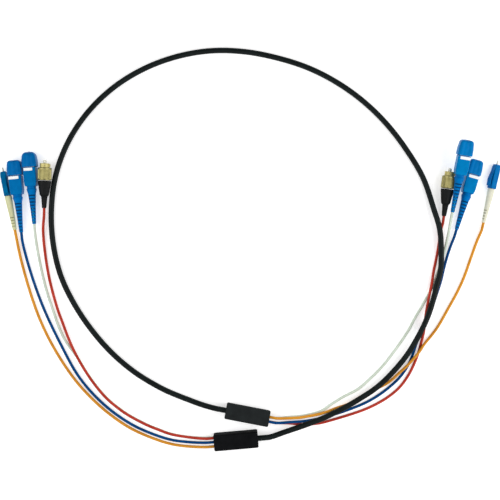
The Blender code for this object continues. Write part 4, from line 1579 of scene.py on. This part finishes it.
# Each pigtail's route from its sleeve to its connector, in millimetres
PIGTAIL_ROUTES = {
    (Fibre.RED, End.LEFT): [
        (-44.8, -134.8, 4.4), (-57.1, -132.9, 3.4), (-65.4, -129.9, 3.3), (-73.6, -126.6, 3.3),
        (-85.9, -120.2, 3.3), (-93.4, -115.2, 3.3), (-103.3, -106.8, 3.3), (-114.4, -93.1, 3.3),
        (-124.4, -76.5, 3.3), (-130.1, -64.7, 2.4), (-135.2, -52.0, 1.2), (-138.1, -44.3, 1.0),
        (-144.4, -20.9, 1.0), (-147.9, 2.4, 1.2), (-148.4, 14.6, 2.2),
    ],
    (Fibre.WHITE, End.LEFT): [
        (-45.0, -135.2, 2.0), (-57.2, -133.2, 1.0), (-65.5, -130.1, 1.0), (-73.7, -126.8, 1.0),
        (-86.0, -120.4, 1.0), (-93.6, -115.4, 1.0), (-103.5, -107.0, 1.0), (-114.7, -93.3, 1.0),
        (-124.9, -77.1, 1.0), (-131.9, -67.6, 1.0), (-137.1, -57.1, 1.0), (-141.6, -44.3, 1.0),
        (-145.9, -31.3, 1.0), (-150.0, -14.8, 1.0), (-153.1, 2.2, 1.6),
    ],
    (Fibre.BLUE, End.LEFT): [
        (-44.9, -138.9, 2.0), (-57.4, -137.4, 1.0), (-73.9, -131.8, 1.0), (-86.3, -125.8, 1.0),
        (-101.5, -115.2, 1.0), (-114.9, -102.4, 1.0), (-124.6, -89.9, 1.0), (-134.9, -71.2, 1.0),
        (-147.4, -45.2, 1.0), (-155.8, -22.9, 1.0), (-161.5, -3.3, 1.5),
    ],
    (Fibre.ORANGE, End.LEFT): [
        (-44.9, -142.0, 2.0), (-57.4, -140.4, 1.0), (-74.5, -134.6, 1.0), (-87.4, -128.4, 1.0),
        (-101.6, -118.6, 1.0), (-114.4, -107.2, 1.0), (-127.0, -92.9, 1.0), (-141.3, -70.9, 1.0),
        (-150.9, -51.3, 1.0), (-158.5, -29.9, 1.0), (-165.0, -6.2, 1.2),
    ],
    (Fibre.ORANGE, End.RIGHT): [
        (28.5, -121.0, 6.2), (35.7, -120.9, 4.8), (42.3, -120.0, 3.6), (48.7, -118.9, 3.4),
        (55.2, -117.2, 2.3), (61.8, -114.8, 1.2), (69.2, -112.4, 1.0), (79.6, -107.6, 1.0),
        (89.6, -101.6, 1.0), (99.4, -96.4, 1.1), (107.0, -89.4, 2.0), (113.6, -82.9, 3.3),
        (118.6, -77.2, 3.4), (122.0, -72.8, 3.6), (124.7, -68.8, 2.8), (129.2, -64.0, 1.3),
        (134.7, -56.8, 1.0), (142.8, -42.6, 1.0), (148.6, -32.1, 1.0), (153.6, -21.3, 1.0),
        (158.6, -7.3, 1.0), (163.1, 5.4, 1.3),
    ],
    (Fibre.BLUE, End.RIGHT): [
        (28.6, -124.0, 5.2), (38.0, -124.0, 2.3), (47.4, -122.7, 1.2), (57.5, -120.2, 1.0),
        (68.3, -116.8, 1.0), (81.8, -111.5, 1.0), (90.9, -106.5, 1.0), (100.4, -99.5, 1.0),
        (107.8, -92.4, 1.0), (113.4, -84.3, 1.0), (116.8, -76.7, 1.0), (119.5, -68.8, 1.0),
        (122.9, -60.3, 1.0), (127.3, -51.4, 1.0), (131.0, -42.3, 1.0), (134.2, -32.8, 1.0),
        (137.2, -23.4, 1.0), (139.4, -14.1, 1.0), (141.8, -5.4, 1.0), (144.2, 2.1, 1.6),
    ],
    (Fibre.WHITE, End.RIGHT): [
        (28.7, -120.7, 3.4), (38.1, -120.2, 1.5), (46.0, -118.5, 1.0), (52.0, -116.5, 1.0),
        (58.5, -112.0, 1.0), (67.6, -106.4, 1.0), (77.2, -101.4, 1.0), (86.4, -93.6, 1.0),
        (95.5, -84.4, 1.0), (107.2, -69.0, 1.0), (113.8, -59.1, 1.0), (118.7, -49.9, 1.0),
        (122.8, -43.1, 1.0), (127.4, -34.8, 1.0), (131.4, -27.0, 1.0), (134.6, -18.4, 1.0),
        (137.2, -10.5, 1.0), (139.4, -3.3, 1.3), (140.9, 4.2, 2.6), (142.2, 12.7, 4.6),
    ],
    (Fibre.RED, End.RIGHT): [
        (28.7, -125.3, 2.7), (36.5, -126.4, 1.2), (48.9, -125.8, 1.0), (57.9, -123.6, 1.0),
        (63.5, -122.0, 1.0), (72.6, -119.2, 1.0), (81.8, -116.0, 1.0), (90.9, -111.8, 1.0),
        (100.1, -106.2, 1.0), (107.9, -99.4, 1.0), (114.4, -90.2, 1.0), (118.6, -81.4, 1.0),
        (121.5, -73.4, 1.0), (123.1, -67.1, 1.4), (124.4, -60.2, 3.2), (125.2, -52.8, 3.6),
        (126.2, -45.6, 3.2), (127.5, -38.4, 3.3), (128.9, -31.2, 3.4), (130.6, -23.4, 2.6),
        (132.1, -15.7, 1.2), (133.4, -9.9, 1.0), (134.9, -1.9, 1.0), (136.0, 5.2, 1.0),
        (136.7, 12.2, 1.7),
    ],
}


@dataclass(frozen=True)
class FibreCable:
    """The whole cable: its sleeves, its connectors and its cords."""

    cable_diameter: float = 4.0
    pigtail_diameter: float = 2.0
    cable_lead: float = 8.0
    pigtail_lead: float = 5.0
    cable_spacing: float = 3.6
    pigtail_spacing: float = 2.8
    sleeve_length: float = 31.5

    def build(self) -> None:
        """Build both ends, then the cords that join them."""
        sleeves = {end: BreakoutSleeve(end, place, self.sleeve_length).build() for end, place in SLEEVES.items()}
        connectors = {key: self.make_connector(*key, place).build() for key, place in CONNECTORS.items()}
        for (fibre, end), inner in PIGTAIL_ROUTES.items():
            self.lay_pigtail(fibre, end, inner)
        self.lay_cable()
        LOG.info("%d sleeves and %d connectors built", len(sleeves), len(connectors))

    def make_connector(self, fibre: Fibre, end: End, place: Placement) -> Connector:
        """Choose the connector that a pigtail ends in.

        Args:
            fibre: Which of the four it is.
            end: Which end of the cable it belongs to.
            place: Where the connector lies.

        Returns:
            The connector, not built yet.
        """
        if fibre is Fibre.ORANGE:
            return LcConnector(fibre, end, place)
        if fibre is Fibre.RED:
            return FcConnector(fibre, end, place)
        if (fibre, end) == (Fibre.WHITE, End.LEFT):
            return ScConnector(fibre, end, place, nose_edge=3.0, bar_length=6.2)
        return ScConnector(fibre, end, place)

    def lay_pigtail(self, fibre: Fibre, end: End, inner: list[Point]) -> None:
        """Args:
            fibre: Which of the four it is.
            end: Which end of the cable it belongs to.
            inner: Its route, in millimetres.
        """
        sleeve, plug = SLEEVES[end], CONNECTORS[fibre, end]
        leaves = sleeve.point(*FAN_EXITS[fibre, end], self.sleeve_length)
        name, jacket = f"pigtail_{fibre.value}_{end.value}", PIGTAIL_JACKETS[fibre]
        cord = Cord(name, jacket, self.pigtail_diameter, self.pigtail_lead, self.pigtail_spacing)
        piece, length = cord.lay(leaves, sleeve.forward(), inner, plug.point(0.0, 0.0, 0.0), plug.forward())

    def lay_cable(self) -> None:
        """Lay the black cable round its loop, from sleeve to sleeve."""
        start, stop = SLEEVES[End.RIGHT], SLEEVES[End.LEFT]
        cord = Cord("main_cable", POLYETHYLENE, self.cable_diameter, self.cable_lead, self.cable_spacing)
        leaves = start.point(0.0, 0.0, 0.0)
        piece, length = cord.lay(leaves, -start.forward(), CABLE_ROUTE, stop.point(0.0, 0.0, 0.0), stop.forward())


# Studio -----------------------------------------------------------------------------------------


@dataclass(frozen=True)
class Softbox:
    """One soft light that faces the middle of the floor.

    Attributes:
        azimuth: Degrees clockwise from +Y, seen from above.
        elevation: Degrees above the floor.
        power: Its power in watts.
        size: The length of its sides in metres.
        distance: How far it is from the middle, in metres.
    """

    azimuth: float
    elevation: float
    power: float
    size: float = 0.6
    distance: float = 0.95

    def build(self) -> None:
        """Hang the light and turn it to the middle."""
        azimuth, elevation = math.radians(self.azimuth), math.radians(self.elevation)
        reach = self.distance * math.cos(elevation)
        at = Vector((reach * math.sin(azimuth), reach * math.cos(azimuth), self.distance * math.sin(elevation)))
        data = bpy.data.lights.new(f"softbox {self.azimuth:.0f}", "AREA")
        data.shape = "SQUARE"
        data.size = self.size
        data.energy = self.power
        light = add_object(data.name, data)
        light.matrix_world = Matrix.Translation(at) @ at.to_track_quat("Z", "Y").to_matrix().to_4x4()


@dataclass(frozen=True)
class CopyStand:
    """The camera straight above a white sweep, between soft lights."""

    camera_at: Point = (0.0, -1.15, 600.0)
    lens: float = 60.0
    sensor: float = 36.0
    floor_size: float = 3.0
    fill: float = 0.25
    lights: tuple[Softbox, ...] = (
        Softbox(-95.0, 42.0, 1.7, 0.45, 0.62),
        Softbox(95.0, 42.0, 2.3, 0.45, 0.62),
        Softbox(180.0, 55.0, 1.4),
    )

    def build(self) -> None:
        """Set up the floor, the lights, the fill and the camera."""
        self.build_floor()
        for light in self.lights:
            light.build()
        world = bpy.data.worlds.new("studio fill")
        world.use_nodes = True
        world.node_tree.nodes["Background"].inputs["Color"].default_value = (1.0, 1.0, 1.0, 1.0)
        world.node_tree.nodes["Background"].inputs["Strength"].default_value = self.fill
        bpy.context.scene.world = world
        data = bpy.data.cameras.new("copy camera")
        data.lens = self.lens
        data.sensor_width = self.sensor
        data.dof.use_dof = False
        data.clip_start = 0.01
        camera = add_object("copy camera", data)
        camera.location = Vector(self.camera_at) * MM
        bpy.context.scene.camera = camera
        bpy.context.scene.view_settings.view_transform = "Standard"
        LOG.info("studio: %d lights, camera %.0f mm up", len(self.lights), self.camera_at[2])

    def build_floor(self) -> None:
        """Lay the paper that the cable lies on."""
        form = bmesh.new()
        bmesh.ops.create_grid(form, x_segments=2, y_segments=2, size=self.floor_size / 2.0)
        mesh = bpy.data.meshes.new("paper floor")
        form.to_mesh(mesh)
        form.free()
        mesh.materials.append(PAPER.make())
        floor = add_object("paper_floor", mesh)


def main() -> None:
    """Build the studio and the cable."""
    logging.basicConfig(level=logging.INFO, format="%(name)s: %(message)s")
    CopyStand().build()
    FibreCable().build()


if __name__ == "__main__":
    main()
